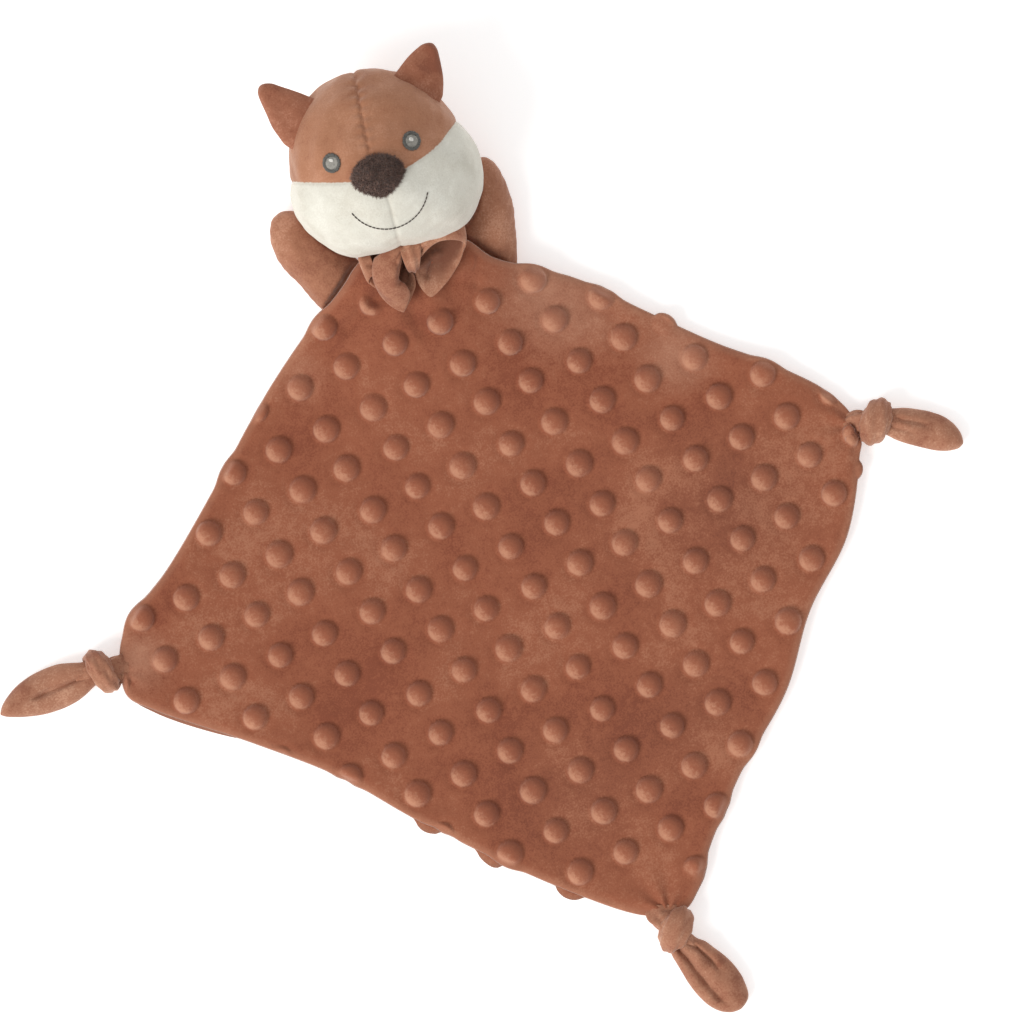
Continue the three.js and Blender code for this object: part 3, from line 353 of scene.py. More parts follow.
def grow(piece, tree, **sizes):
    modifier = piece.modifiers.new("grow", "NODES")
    modifier.node_group = tree
    for item in tree.interface.items_tree:
        if item.in_out == "INPUT" and item.name in sizes:
            modifier[item.identifier] = sizes[item.name]
    return applied(piece, modifier)


def subdivided(piece, levels):
    modifier = piece.modifiers.new("finer", "SUBSURF")
    modifier.levels = modifier.render_levels = levels
    return applied(piece, modifier)


def dotTree():
    # raises a round dot at every point of a slanting lattice
    tree, board, give = newTree(
        "dimpleDots", firstX=0.0, firstY=0.0, acrossX=0.0, acrossY=0.0, alongX=0.0, alongY=0.0,
        dotWidth=0.0112, dotHeight=0.003, jitter=0.0, seed=3, napX=-0.91, napY=-0.41)
    parts = board.split(board.node("GeometryNodeInputPosition"))
    x = parts - give["firstX"]
    y = parts.also("Y") - give["firstY"]
    spread = give["acrossX"] * give["alongY"] - give["acrossY"] * give["alongX"]
    column = (x * give["alongY"] - y * give["alongX"]) / spread
    row = (y * give["acrossX"] - x * give["acrossY"]) / spread
    nearColumn = column.sum("ROUND")
    nearRow = row.sum("ROUND")
    number = nearColumn * 131.0 + nearRow * 7.0
    chance = board.split(board.luck((-1.0, -1.0, -1.0), (1.0, 1.0, 1.0), ID=number, Seed=give["seed"]))
    offColumn = column - nearColumn
    offRow = row - nearRow
    awayX = offColumn * give["acrossX"] + offRow * give["alongX"] - chance * give["jitter"]
    awayY = offColumn * give["acrossY"] + offRow * give["alongY"] - chance.also("Y") * give["jitter"]
    away = (awayX * awayX + awayY * awayY).sum("SQRT")
    halfWidth = give["dotWidth"] * (0.5 + chance.also("Z") * 0.025)
    share = away / halfWidth
    dome = (1.0 - share ** 2.2).sum("MAXIMUM", 0.0) ** 0.7
    # painted highlight: how far a point lies on the key light's side of its dot, stored for a paler lit flank
    nap = (awayX * give["napX"] + awayY * give["napY"]) / halfWidth
    moat = 0.0 - board.clamp(share, 0.9, 1.05) * board.clamp(share, 1.05, 1.7, 1.0, 0.0) * 0.1
    outer = board.named("outer")
    lift = (dome + moat) * give["dotHeight"] * outer
    normal = board.node("GeometryNodeInputNormal")
    push = board.node("ShaderNodeVectorMath", {"Vector": normal, "Scale": lift}, operation="SCALE")
    raised = board.node("GeometryNodeSetPosition", {"Geometry": give["Geometry"], "Offset": push})
    marked = board.store(board.store(raised, "dot", dome * outer), "nap", nap)
    return endTree(board, marked, give["material"])


def stitchTree():
    # lays one short thread at each vertex, along its heading
    tree, board, give = newTree("stitches", width=0.0005, sides=6)
    points = board.node("GeometryNodeMeshToPoints", {"Mesh": give["Geometry"]})
    bead = board.node("GeometryNodeMeshUVSphere", {"Segments": give["sides"], "Rings": 5, "Radius": 0.5})
    heading = board.named("heading", "FLOAT_VECTOR")
    turned = board.node("FunctionNodeAlignRotationToVector", {"Vector": heading}, axis="X")
    size = board.node("ShaderNodeCombineXYZ", {"X": board.named("span"), "Y": give["width"], "Z": give["width"]})
    laid = {"Points": points, "Instance": bead, "Rotation": turned, "Scale": size}
    return endTree(board, board.node("GeometryNodeInstanceOnPoints", laid), give["material"])


def furTree():
    # short bent hairs over a surface
    tree, board, give = newTree("shagPile", density=4e6, hairLength=0.0022, hairWidth=0.00022, seed=5)
    skin = {"Mesh": give["Geometry"], "Density": give["density"], "Seed": give["seed"]}
    scattered = board.node("GeometryNodeDistributePointsOnFaces", skin)
    cone = {"Vertices": 3, "Side Segments": 2, "Radius Top": 0.12, "Radius Bottom": 0.5, "Depth": 1.0}
    hair = board.node("GeometryNodeMeshCone", cone, fill_type="NGON")
    lean = board.luck((-1.1, -1.1, -0.1), (1.1, 1.1, 0.3), Seed=give["seed"])
    ways = {"Vector": scattered.also("Normal"), "Vector_001": lean}
    heading = board.node("ShaderNodeVectorMath", ways, operation="ADD")
    turned = board.node("FunctionNodeAlignRotationToVector", {"Vector": heading}, axis="Z")
    chance = {"Min_001": 0.6, "Max_001": 1.2, "Seed": give["seed"] + 1.0}
    longer = board.node("FunctionNodeRandomValue", chance, 1, data_type="FLOAT")
    width = give["hairWidth"]
    size = board.node("ShaderNodeCombineXYZ", {"X": width, "Y": width, "Z": give["hairLength"] * longer})
    planted = {"Points": scattered, "Instance": hair, "Rotation": turned, "Scale": size}
    both = board.node("GeometryNodeJoinGeometry")
    for geometry in (board.node("GeometryNodeInstanceOnPoints", planted), give["Geometry"]):
        board.plug(both.socket.node, "Geometry", geometry)
    return endTree(board, both, give["material"])


trees = {"dots": dotTree(), "stitches": stitchTree(), "fur": furTree()}
print("trees: made")


# mesh helpers
def addValues(mesh, **values):
    # a number or a vector for each vertex, under each name
    for label, value in values.items():
        isVector = np.ndim(value) == 2
        layer = mesh.attributes.new(label, "FLOAT_VECTOR" if isVector else "FLOAT", "POINT")
        layer.data.foreach_set("vector" if isVector else "value", np.asarray(value, np.float32).ravel())


def newPiece(name, points, faces, material=None, **values):
    mesh = bpy.data.meshes.new(name)
    mesh.from_pydata((np.asarray(points) * mm).tolist(), [], faces)
    addValues(mesh, **values)
    mesh.update()
    mesh.shade_smooth()
    if material:
        mesh.materials.append(material)
    piece = bpy.data.objects.new(name, mesh)
    scene.collection.objects.link(piece)
    return piece


def vectors(items, key):
    found = np.zeros(len(items) * 3, np.float32)
    items.foreach_get(key, found)
    return found.reshape(-1, 3).astype(float)


def coordinates(piece):
    return vectors(piece.data.vertices, "co")


def moveTo(piece, spots):
    piece.data.vertices.foreach_set("co", np.asarray(spots, np.float32).ravel())
    piece.data.update()


def aboveTable(spots):
    spots[:, 2] = np.maximum(spots[:, 2], 0)
    return spots


def hermite(t, first, leaving, second, arriving):
    return (
        (2 * t**3 - 3 * t**2 + 1) * first + (t**3 - 2 * t**2 + t) * leaving
        + (3 * t**2 - 2 * t**3) * second + (t**3 - t**2) * arriving
    )


def smoothTable(pairs):
    # a curve through the pairs that never swings past them
    places, values = np.array(pairs, float).T
    steps = np.diff(places)
    slopes = np.diff(values) / steps
    product = slopes[1:] * slopes[:-1]
    total = slopes[1:] + slopes[:-1]
    total = np.where(np.abs(total) < 1e-12, 1, total)
    tangents = np.concatenate([[slopes[0]], np.where(product > 0, 2 * product / total, 0), [slopes[-1]]])

    def at(place):
        place = np.clip(place, places[0], places[-1])
        k = np.clip(np.searchsorted(places, place, side="right") - 1, 0, len(steps) - 1)
        t = (place - places[k]) / steps[k]
        return hermite(t, values[k], steps[k] * tangents[k], values[k + 1], steps[k] * tangents[k + 1])

    return at


def loopThrough(points, perSpan):
    # a closed smooth line through the points
    points = np.array(points, float)
    count = len(points)
    t = np.linspace(0, 1, perSpan, endpoint=False)[:, None]
    spans = []
    for k in range(count):
        p0, p1, p2, p3 = (points[(k + step) % count] for step in (-1, 0, 1, 2))
        d0, d1, d2 = (max(np.linalg.norm(b - a) ** 0.5, 1e-4) for a, b in ((p0, p1), (p1, p2), (p2, p3)))
        leaving = ((p1 - p0) / d0 - (p2 - p0) / (d0 + d1) + (p2 - p1) / d1) * d1
        arriving = ((p2 - p1) / d1 - (p3 - p1) / (d1 + d2) + (p3 - p2) / d2) * d1
        spans.append(hermite(t, p1, leaving, p2, arriving))
    return np.concatenate(spans)


def eased(count, ease):
    # shares from 0 to 1, closer together at the ends where ease is above 0
    share = np.linspace(0, 1, count)
    return share - ease * np.sin(fullTurn * share) / fullTurn


def spaced(line, count, ease=0.0):
    # the line again with evenly placed points
    far = np.concatenate([[0], np.cumsum(np.linalg.norm(np.diff(line, axis=0), axis=1))])
    share = eased(count, ease)
    return np.stack([np.interp(share * far[-1], far, line[:, k]) for k in range(line.shape[1])], axis=1)


def fromLine(spots, line):
    # distance in plan from each spot to the nearest part of a line of points
    near = np.full(len(spots), np.inf)
    for a, b in zip(line[:-1], line[1:]):
        along = b - a
        t = np.clip(((spots - a) @ along) / max(along @ along, 1e-12), 0, 1)
        near = np.minimum(near, ((spots - a - t[:, None] * along) ** 2).sum(1))
    return np.sqrt(near)


def creaseShare(x, y, start, end, width):
    # 1 on the line from start to end, fading over the width beside it
    away = fromLine(np.stack([x.ravel(), y.ravel()], 1), np.array([start, end], float)).reshape(x.shape)
    return np.exp(-((away / width) ** 2))


def smoothstep(value, low, high):
    t = np.clip((value - low) / (high - low), 0, 1)
    return t * t * (3 - 2 * t)


def waves(x, y, seed, size, count=7):
    # slow uneven swells, about one high
    luck = np.random.default_rng(seed)
    total = np.zeros_like(x)
    for _ in range(count):
        turn = luck.uniform(0, fullTurn)
        length = size * luck.uniform(0.6, 1.7)
        total += np.sin((x * np.cos(turn) + y * np.sin(turn)) * fullTurn / length + luck.uniform(0, fullTurn))
    return total / count**0.5


def gridFaces(index, turned=False):
    # the cells of a grid of vertex numbers
    a, b, c, d = index[:-1, :-1], index[1:, :-1], index[1:, 1:], index[:-1, 1:]
    return np.stack([a, d, c, b] if turned else [a, b, c, d], -1).reshape(-1, 4).tolist()


def flipped(faces):
    return [face[::-1] for face in faces]


def tubeFaces(rings, sides, closedEnds=True):
    index = np.arange(rings * sides).reshape(rings, sides)
    faces = gridFaces(np.pad(index, ((0, 0), (0, 1)), mode="wrap"), True)
    if closedEnds:
        first, last = rings * sides, rings * sides + 1
        for s in range(sides):
            n = (s + 1) % sides
            faces.append((first, n, s))
            faces.append((last, (rings - 1) * sides + s, (rings - 1) * sides + n))
    return faces


def capped(points, sides):
    # a tube's points with one more in the middle of each end
    points = np.array(points)
    return np.concatenate([points, [points[:sides].mean(0), points[-sides:].mean(0)]])


def dress(piece, body, slot, *nodes):
    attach(piece, body)
    if nodes:
        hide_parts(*nodes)
    return piece


# air in the padding
air = {"pressure": 700.0, "mass": 0.02, "tension": 3.0, "bending": 0.1, "quality": 4, "steps": 20}


def puffed(piece, held, most):
    # air fills the cloth: held is 1 where a seam keeps it down, most caps the move in millimetres
    before = coordinates(piece)
    seams = piece.vertex_groups.new(name="seams")
    seams.add([int(k) for k in np.nonzero(held > 0.5)[0]], 1.0, "REPLACE")
    cloth = piece.modifiers.new("air", "CLOTH")
    settings = cloth.settings
    settings.quality = air["quality"]
    settings.mass = air["mass"]
    settings.tension_stiffness = settings.compression_stiffness = air["tension"]
    settings.bending_stiffness = air["bending"]
    settings.use_pressure = True
    settings.uniform_pressure_force = air["pressure"]
    settings.effector_weights.gravity = 0
    settings.vertex_group_mass = "seams"
    cloth.point_cache.frame_start, cloth.point_cache.frame_end = 1, air["steps"]
    for step in range(1, air["steps"] + 1):
        scene.frame_set(step)
    graph = bpy.context.evaluated_depsgraph_get()
    filled = bpy.data.meshes.new_from_object(piece.evaluated_get(graph), depsgraph=graph)
    move = vectors(filled.vertices, "co") - before
    bpy.data.meshes.remove(filled)
    piece.modifiers.remove(cloth)
    piece.vertex_groups.clear()
    scene.frame_set(1)
    reach = np.maximum(np.linalg.norm(move, axis=1), 1e-9)
    share = most * mm * np.tanh(reach / (most * mm)) / reach
    moveTo(piece, before + move * share[:, None])
    print("air:", piece.name, "moved", round(float(reach.mean()) / mm, 2), "mm before the cap")
    return piece


# blanket
# the four sides are read as (share along, share of the length sideways) between their corners
blanket = {
    "neckLeft": (-12, 124.8), "neckRight": (43, 124.5), "neckTop": (15.5, 136.5),
    "neckRise": [(-5.5, 129.8), (1.5, 133.5), (8, 135.5)], "neckFall": [(24, 134.5), (33, 131)],
    "right": (167.5, -5), "bottom": (23, -166), "left": (-154.5, 7.5), "perSpan": 12,
    "topRight": [
        (0.07, -0.01), (0.19, 0.016), (0.27, 0.03), (0.44, 0.031), (0.62, 0.035), (0.75, 0.047), (0.92, 0.042),
    ],
    "lowRight": [
        (0.05, 0.023), (0.2, 0.057), (0.36, 0.043), (0.52, 0.057), (0.7, 0.033), (0.86, 0.03), (0.95, 0.038),
        (0.98, 0.03),
    ],
    "lowLeft": [
        (0.035, 0.02), (0.18, 0.034), (0.44, 0.028), (0.59, 0.014), (0.75, 0.021), (0.92, 0.037), (0.972, 0.034),
    ],
    "topLeft": [(0.05, 0.029), (0.11, 0.041), (0.25, 0.024), (0.5, 0.024), (0.68, 0.029), (0.84, 0.021)],
    "seamLevel": 4.65, "neck": (19.5, 128.5), "neckLift": 19, "neckReach": 48, "wave": 1.6, "waveLength": 88,
    "thick": 2.15, "gap": 0.05, "roll": 5.5, "hiddenCells": 5, "ease": 0.15,
    "firstDot": (14.9, -0.7), "pitchAcross": 21.2, "pitchAlong": 19.3, "rowTurn": 4.9, "columnTurn": 99.4,
    # the pair after the dot width is the way to the key light in plan, for a painted highlight on each dot's lit flank
    "dotWidth": 10.9, "nap": (-0.91, -0.41), "dotHeight": 3.7, "dotJitter": 0.7, "rimBulge": 1.5,
    "bare": [((19.5, 128.5), 25, 30), ((23, -166), 16, 24)],
    "slack": 0.45, "swells": [(0.45, 11, 85), (0.16, 12, 24), (0.07, 15, 9)],
    "pleats": {"right": 0.9, "bottom": 0.9, "left": 0.3}, "pleatReach": 15, "pleatCount": 8,
    "neckPleats": 1.1, "neckPleatsAt": 14, "neckPleatReach": 17, "neckPleatCount": 9,
    "creases": [
        ((0.6, 114.8), (-16.2, 107.8), 1.7, 3.4), ((29.8, 112.3), (40, 107), 1.5, 3),
        ((11, 104.7), (12.5, 95), 1.3, 3.5), ((36, 118), (60, 112), -1.0, 4),
    ],
    "peeps": {
        1: [((107.6, 63.8), (0.62, 0.7, 0.5), 5.2, 2.9), ((165.6, -23.4), (0.94, -0.35, 0.3), 5.8, 3.2)],
        -1: [
            ((-56.2, -96.2), (-0.62, -0.78, 0), 6.2, 3.2), ((-37.9, -118.5), (-0.62, -0.78, 0), 6.2, 3.2),
            ((-11.6, -143), (-0.62, -0.78, 0), 6.2, 3.2), ((-134, -20), (-0.67, -0.74, 0), 22, 1.2),
        ],
    },
    # listed patches: above 0 the pile is paler; below 0 it is deeper, and these deep patches on the right and lower
    # part of the cloth are painted shade
    "brushed": [
        ((70, 88), 26, 0.6), ((108, 47), 17, 0.55), ((-146, 9), 14, 0.6), ((-42, 95), 12, 0.4),
        ((77, -12), 42, -0.26), ((119, -19), 34, -0.32), ((5, -109), 36, -0.34), ((64, -96), 28, -0.3),
    ],
}


def blanketEdge():
    # the outline as one closed line, and its four sides
    def side(start, end, label):
        start, end = np.array(blanket[start], float), np.array(blanket[end], float)
        along = end - start
        across = np.array([-along[1], along[0]])
        return [start, *(start + along * a + across * b for a, b in blanket[label])]

    right = [*blanket["neckFall"], *side("neckRight", "right", "topRight")]
    low = side("right", "bottom", "lowRight")
    lowLeft = side("bottom", "left", "lowLeft")
    topLeft = [*side("left", "neckLeft", "topLeft"), blanket["neckLeft"], *blanket["neckRise"]]
    loop = loopThrough([blanket["neckTop"], *right, *low, *lowLeft, *topLeft], blanket["perSpan"])
    stops = np.cumsum([0, 1 + len(right), len(low), len(lowLeft), len(topLeft)]) * blanket["perSpan"]
    loop = np.concatenate([loop, loop[:1]])
    return loop, [loop[a:b + 1] for a, b in zip(stops[:-1], stops[1:])]


edgeLoop, (edgeRight, edgeLowRight, edgeLowLeft, edgeTopLeft) = blanketEdge()


def insideBlanket(spots):
    inside = np.zeros(len(spots), bool)
    for (ax, ay), (bx, by) in zip(edgeLoop[:-1], edgeLoop[1:]):
        crosses = (ay > spots[:, 1]) != (by > spots[:, 1])
        if ay != by:
            inside ^= crosses & (spots[:, 0] < ax + (bx - ax) * (spots[:, 1] - ay) / (by - ay))
    return inside


def sheetGrid(cells):
    # a grid over the blanket, its lines following the four sides
    n, ease = cells + 1, blanket["ease"]
    right = spaced(edgeLowRight[::-1], n, ease)      # bottom corner to right corner
    top = spaced(edgeTopLeft, n, ease)                # left corner to neck
    left = spaced(edgeLowLeft, n, ease)               # bottom corner to left corner
    far = spaced(edgeRight[::-1], n, ease)            # right corner to neck
    share = eased(n, ease)
    u, v = np.meshgrid(share, share, indexing="ij")
    u, v = u[..., None], v[..., None]
    return (
        (1 - v) * right[:, None] + v * top[:, None] + (1 - u) * left[None] + u * far[None]
        - ((1 - u) * (1 - v) * right[0] + u * (1 - v) * right[-1] + u * v * top[-1] + (1 - u) * v * left[-1])
    )


def seamHeight(x, y, fromEdge):
    # where the two panels meet: level, climbing to the neck, waving along the edges
    neckX, neckY = blanket["neck"]
    climb = blanket["neckLift"] * np.exp(-(((x - neckX) ** 2 + (y - neckY) ** 2) / blanket["neckReach"] ** 2))
    wave = blanket["wave"] * (1 + np.sin(fullTurn * (x - y) / blanket["waveLength"])) / 2
    return blanket["seamLevel"] + climb + wave * np.exp(-fromEdge / blanket["pitchAcross"])


def folds(x, y):
    # slack in the cloth: slow swells, pleats below the neck and at the knots, and single creases
    height = blanket["slack"] + sum(amount * waves(x, y, seed, size) for amount, seed, size in blanket["swells"])

    def seenFrom(spot):
        return np.hypot(x - spot[0], y - spot[1]), np.arctan2(y - spot[1], x - spot[0])

    away, turn = seenFrom(blanket["neck"])
    reach = np.exp(-(((away - blanket["neckPleatsAt"]) / blanket["neckPleatReach"]) ** 2))
    height += blanket["neckPleats"] * reach * np.cos(blanket["neckPleatCount"] * turn + 0.8)
    for corner, amount in blanket["pleats"].items():
        away, turn = seenFrom(blanket[corner])
        height += amount * np.exp(-((away / blanket["pleatReach"]) ** 2)) * np.cos(blanket["pleatCount"] * turn)
    for start, end, depth, width in blanket["creases"]:
        height -= depth * creaseShare(x, y, start, end, width)
    return height


def dotLattice():
    # the steps from dot to dot, along a row and along a column
    turnRow, turnColumn = math.radians(blanket["rowTurn"]), math.radians(blanket["columnTurn"])
    across = np.array([math.cos(turnRow), math.sin(turnRow)]) * blanket["pitchAcross"]
    along = np.array([math.cos(turnColumn), math.sin(turnColumn)]) * blanket["pitchAlong"]
    return across, along


def rimBulged(plan, fromEdge):
    # the edge swells outwards where a dot comes close to it
    across, along = dotLattice()
    first = np.array(blanket["firstDot"])
    dots = np.array([first + i * across + j * along for i in range(-10, 11) for j in range(-10, 11)])
    near = fromLine(dots, edgeLoop)
    moved = plan.copy()
    for dot in dots[(near < 7) & (insideBlanket(dots) | (near < 1.5))]:
        if np.linalg.norm(dot - blanket["neck"]) > blanket["bare"][0][2]:
            offset = plan - dot
            away = np.maximum(np.linalg.norm(offset, axis=-1), 0.5)
            reach = np.exp(-((away / 8) ** 4)) * (1 - smoothstep(fromEdge, 0, 6)) * smoothstep(away, 1, 4)
            moved += offset / away[..., None] * (reach * blanket["rimBulge"])[..., None]
    return moved


def hiddenSide(index, wide, firstNew):
    # wide cells that share the rim of a grid, and the places of their own inner points
    cells = len(index) - 1
    corners, places, faces = {}, [], []
    for i in range(0, cells + 1, wide):
        for j in range(0, cells + 1, wide):
            isInner = 0 < i < cells and 0 < j < cells
            corners[i, j] = firstNew + len(places) if isInner else index[i, j]
            if isInner:
                places.append((i, j))
    for i in range(0, cells, wide):
        for j in range(0, cells, wide):
            around = [(i, j), (i, j + wide), (i + wide, j + wide), (i + wide, j), (i, j)]
            ring = []
            for (a, b), (c, d) in zip(around, around[1:]):
                ring.append(corners[a, b])
                if (a == c and a in (0, cells)) or (b == d and b in (0, cells)):
                    ring += [index[a + (c - a) * k // wide, b + (d - b) * k // wide] for k in range(1, wide)]
            faces.append([int(k) for k in ring])
    return places, faces


def blanketPanel(name, facing, cells, slackShare, seed):
    plan = sheetGrid(cells)
    n = cells + 1
    fromEdge = fromLine(plan.reshape(-1, 2), edgeLoop).reshape(n, n)
    fromEdge[0, :] = fromEdge[-1, :] = fromEdge[:, 0] = fromEdge[:, -1] = 0
    plan = rimBulged(plan, fromEdge)
    x, y = plan[..., 0], plan[..., 1]
    rounded = np.sqrt(1 - (1 - np.clip(fromEdge / blanket["roll"], 0, 1)) ** 2)
    seam = seamHeight(x, y, fromEdge) + folds(x, y) * (0.35 + 0.65 * rounded) * slackShare
    inner = np.stack([x, y, seam + facing * blanket["gap"]], -1)
    outer = np.stack([x, y, seam + facing * (blanket["gap"] + blanket["thick"] * rounded)], -1).reshape(-1, 3)
    index = np.arange(n * n).reshape(n, n)
    places, hidden = hiddenSide(index, blanket["hiddenCells"], len(outer))
    faces = gridFaces(index) + hidden
    points = np.concatenate([outer, [inner[place] for place in places]])

    raised = smoothstep(fromEdge, 0.2, 3.6)
    for (bareX, bareY), none, full in blanket["bare"]:
        raised = raised * smoothstep(np.hypot(x - bareX, y - bareY), none, full)
    none = np.zeros(len(places))
    # the listed patches as one value per point: paler pile above 0, painted shade below 0
    brushed = np.zeros(len(points))
    for (strokeX, strokeY), reach, amount in blanket["brushed"]:
        away = np.hypot(points[:, 0] - strokeX, points[:, 1] - strokeY)
        brushed += amount * np.exp(-((away / reach) ** 2))
    # the edge share drives a painted sheen along the rolled edge, and the patches a paler pile and painted shade
    panel = newPiece(
        name, points, faces if facing > 0 else flipped(faces), outer=np.concatenate([raised.ravel(), none]),
        rim=np.concatenate([(1 - smoothstep(fromEdge, 0.5, 4.5)).ravel(), none]), brushed=brushed)
    (acrossX, acrossY), (alongX, alongY) = dotLattice()
    grow(
        panel, trees["dots"], firstX=blanket["firstDot"][0] * mm, firstY=blanket["firstDot"][1] * mm,
        acrossX=acrossX * mm, acrossY=acrossY * mm, alongX=alongX * mm, alongY=alongY * mm,
        dotWidth=blanket["dotWidth"] * mm, dotHeight=blanket["dotHeight"] * mm, jitter=blanket["dotJitter"] * mm,
        seed=seed, napX=blanket["nap"][0], napY=blanket["nap"][1], material=finishes["blanket"])
    spots = aboveTable(coordinates(panel))
    # dots that peep out beyond the edge
    for (peepX, peepY), out, reach, push in blanket["peeps"][facing]:
        away = np.hypot(spots[:, 0] / mm - peepX, spots[:, 1] / mm - peepY)
        spots += (push * mm * np.maximum(1 - (away / reach) ** 2, 0) ** 0.7)[:, None] * np.array(out)
    moveTo(panel, spots)
    return panel


blanketFront = blanketPanel("blanketFront", 1, 300, 1, 3)
dress(blanketFront, "blanket", "dotted_plush", "blanket_front_panel")
blanketBack = blanketPanel("blanketBack", -1, 200, 0.5, 8)
dress(blanketBack, "blanket", "dotted_plush", "blanket_back_panel")

# head
# widths and depths are read as (share of the height from the chin, share of the largest)
head = {
    "middle": (21.5, 168.5, 33.5), "turn": -5, "width": 82, "height": 77, "depth": 68, "face": -3.2,
    "crown": -3.6, "chin": 1.4, "muzzleRise": 6, "muzzleReach": 17, "muzzleDrop": 11, "sideSeam": -9.5,
    "across": 40, "start": 0.985, "air": 1.4, "heldBeside": 1.1, "around": 3,
    "pucker": 0.42, "puckerPitch": 4.2, "puckerReach": 3.2, "puckerFrom": 160, "puckerTo": 168,
    "grooves": [(0.5, 0.9), (0.35, 4.0)],
    "widths": [
        (0, 0), (0.02, 0.57), (0.07, 0.73), (0.16, 0.865), (0.27, 0.965), (0.38, 1), (0.5, 0.945), (0.62, 0.875),
        (0.74, 0.795), (0.85, 0.645), (0.94, 0.43), (0.985, 0.22), (1, 0),
    ],
    "depths": [
        (0, 0), (0.02, 0.5), (0.07, 0.73), (0.16, 0.88), (0.27, 0.97), (0.38, 1), (0.5, 1), (0.62, 0.95),
        (0.74, 0.85), (0.85, 0.69), (0.94, 0.45), (0.985, 0.22), (1, 0),
    ],
    "mask": [
        (-24, 174.6), (-18.2, 172.6), (-12.6, 170.1), (-4.5, 166.8), (5.8, 163.2), (16, 160.6), (26.5, 160.2),
        (30, 160.6), (37.6, 162.3), (46.1, 165.2), (53.5, 169.8), (56.5, 171.9), (66, 178),
    ],
    "centre": [
        (24, 212), (22.9, 205.2), (20.3, 190), (17.9, 174), (17.9, 160), (18.1, 150), (17, 140), (16.1, 133),
        (15.8, 126),
    ],
}
headFrame = Matrix.Translation(Vector(head["middle"]) * mm) @ Matrix.Rotation(math.radians(head["turn"]), 4, "Z")
maskLine = smoothTable(head["mask"])


def headSize(height, more=0.0):
    # sideways middle, half width and half depth at a height from -1 at the chin to 1 at the crown
    angle = np.arccos(-height)
    lean = head["chin"] + (head["crown"] - head["chin"]) * (1 + height) / 2
    return (lean, *(
        head[size] / 2 * smoothTable([(math.acos(1 - 2 * s), v) for s, v in head[shares]])(angle) + more
        for size, shares in (("width", "widths"), ("depth", "depths"))))


def headPoint(way):
    # the point of the stuffed head that lies in a direction from its middle, in its own frame
    height = np.clip(way[:, 1], -1, 1)
    ring = np.maximum(np.hypot(way[:, 0], way[:, 2]), 1e-9)
    deep = way[:, 2] / ring
    lean, halfWidth, halfDepth = headSize(height)
    x = lean + halfWidth * (way[:, 0] / ring)
    y = head["height"] / 2 * height
    z = halfDepth * deep
    away = np.hypot(x - head["face"], y + head["muzzleDrop"]) / head["muzzleReach"]
    z += head["muzzleRise"] * np.exp(-(away**2)) * np.clip(2 * deep, 0, 1)
    return np.stack([x, y, z], 1)


def cubeBall(n):
    # directions and faces of a cube blown up to a ball, with n cells along an edge
    numbers, ways, faces = {}, [], []
    side = np.tan(np.linspace(-np.pi / 4, np.pi / 4, n + 1))

    def corner(axis, sign, i, j):
        point = np.zeros(3)
        point[axis], point[(axis + 1) % 3], point[(axis + 2) % 3] = sign, side[i], side[j]
        key = tuple(np.round(point, 6))
        if key not in numbers:
            numbers[key] = len(ways)
            ways.append(point / np.linalg.norm(point))
        return numbers[key]

    for axis in range(3):
        for sign in (-1, 1):
            for i in range(n):
                for j in range(n):
                    around = ((i, j), (i + 1, j), (i + 1, j + 1), (i, j + 1))
                    quad = [corner(axis, sign, a, b) for a, b in around]
                    faces.append(quad if sign > 0 else quad[::-1])
    return np.array(ways), faces


def seamDistances(home):
    # from a spot of the head, in the object's frame, to the mask line and to the nearest seam
    spot = home[:, :2]
    below = maskLine(spot[:, 0]) - spot[:, 1]
    front = home[:, 2] - (head["middle"][2] + head["sideSeam"])
    mask = np.minimum(below * 0.95, front)
    line = np.array(head["centre"], float)
    perSpan = 8
    path = loopThrough(np.concatenate([line, line[::-1][1:-1]]), perSpan)[: perSpan * (len(line) - 1) + 1]
    centre = np.where(front > -60, fromLine(spot, spaced(path, 60)), 99)
    across = np.linspace(head["mask"][0][0], head["mask"][-1][0], 60)
    alongMask = np.where(front > 0, fromLine(spot, np.stack([across, maskLine(across)], 1)), 99)
    return mask, np.minimum(np.minimum(centre, alongMask), np.abs(front)), centre


def makeHead():
    ways, faces = cubeBall(head["across"])
    home = aboveTable(headPoint(ways) @ np.array(headFrame.to_3x3()).T + np.array(head["middle"]))
    piece = newPiece("headPlush", home, faces, finishes["head"], home=home)
    # a little small, then blown up between its seams
    moveTo(piece, (np.array(head["middle"]) + (home - head["middle"]) * head["start"]) * mm)
    puffed(piece, seamDistances(home)[1] < head["heldBeside"], head["air"])
    subdivided(piece, 2)
    home = vectors(piece.data.attributes["home"].data, "vector")
    mask, seam, centre = seamDistances(home)
    addValues(piece.data, mask=mask * mm, seam=seam * mm)
    x, y, z = home.T
    lumps = 0.35 * waves(x + z, y - z, 21, 26) + 0.12 * waves(x, y + z, 22, 9)
    # the brow's seam is gathered in turns from both sides
    whichSide = np.sign(x - smoothTable([(b, a) for a, b in head["centre"][::-1]])(y))
    pucker = head["pucker"] * smoothstep(y, head["puckerFrom"], head["puckerTo"])
    pucker = pucker * np.sin(y * fullTurn / head["puckerPitch"] + whichSide * np.pi / 2)
    pucker = pucker * np.exp(-((centre / head["puckerReach"]) ** 2)) * smoothstep(centre, 0, 0.8)
    groove = sum(depth * np.exp(-((seam / width) ** 2)) for depth, width in head["grooves"])
    out = vectors(piece.data.vertices, "normal")
    moveTo(piece, aboveTable(coordinates(piece) + out * ((lumps + pucker - groove) * mm)[:, None]))
    return piece


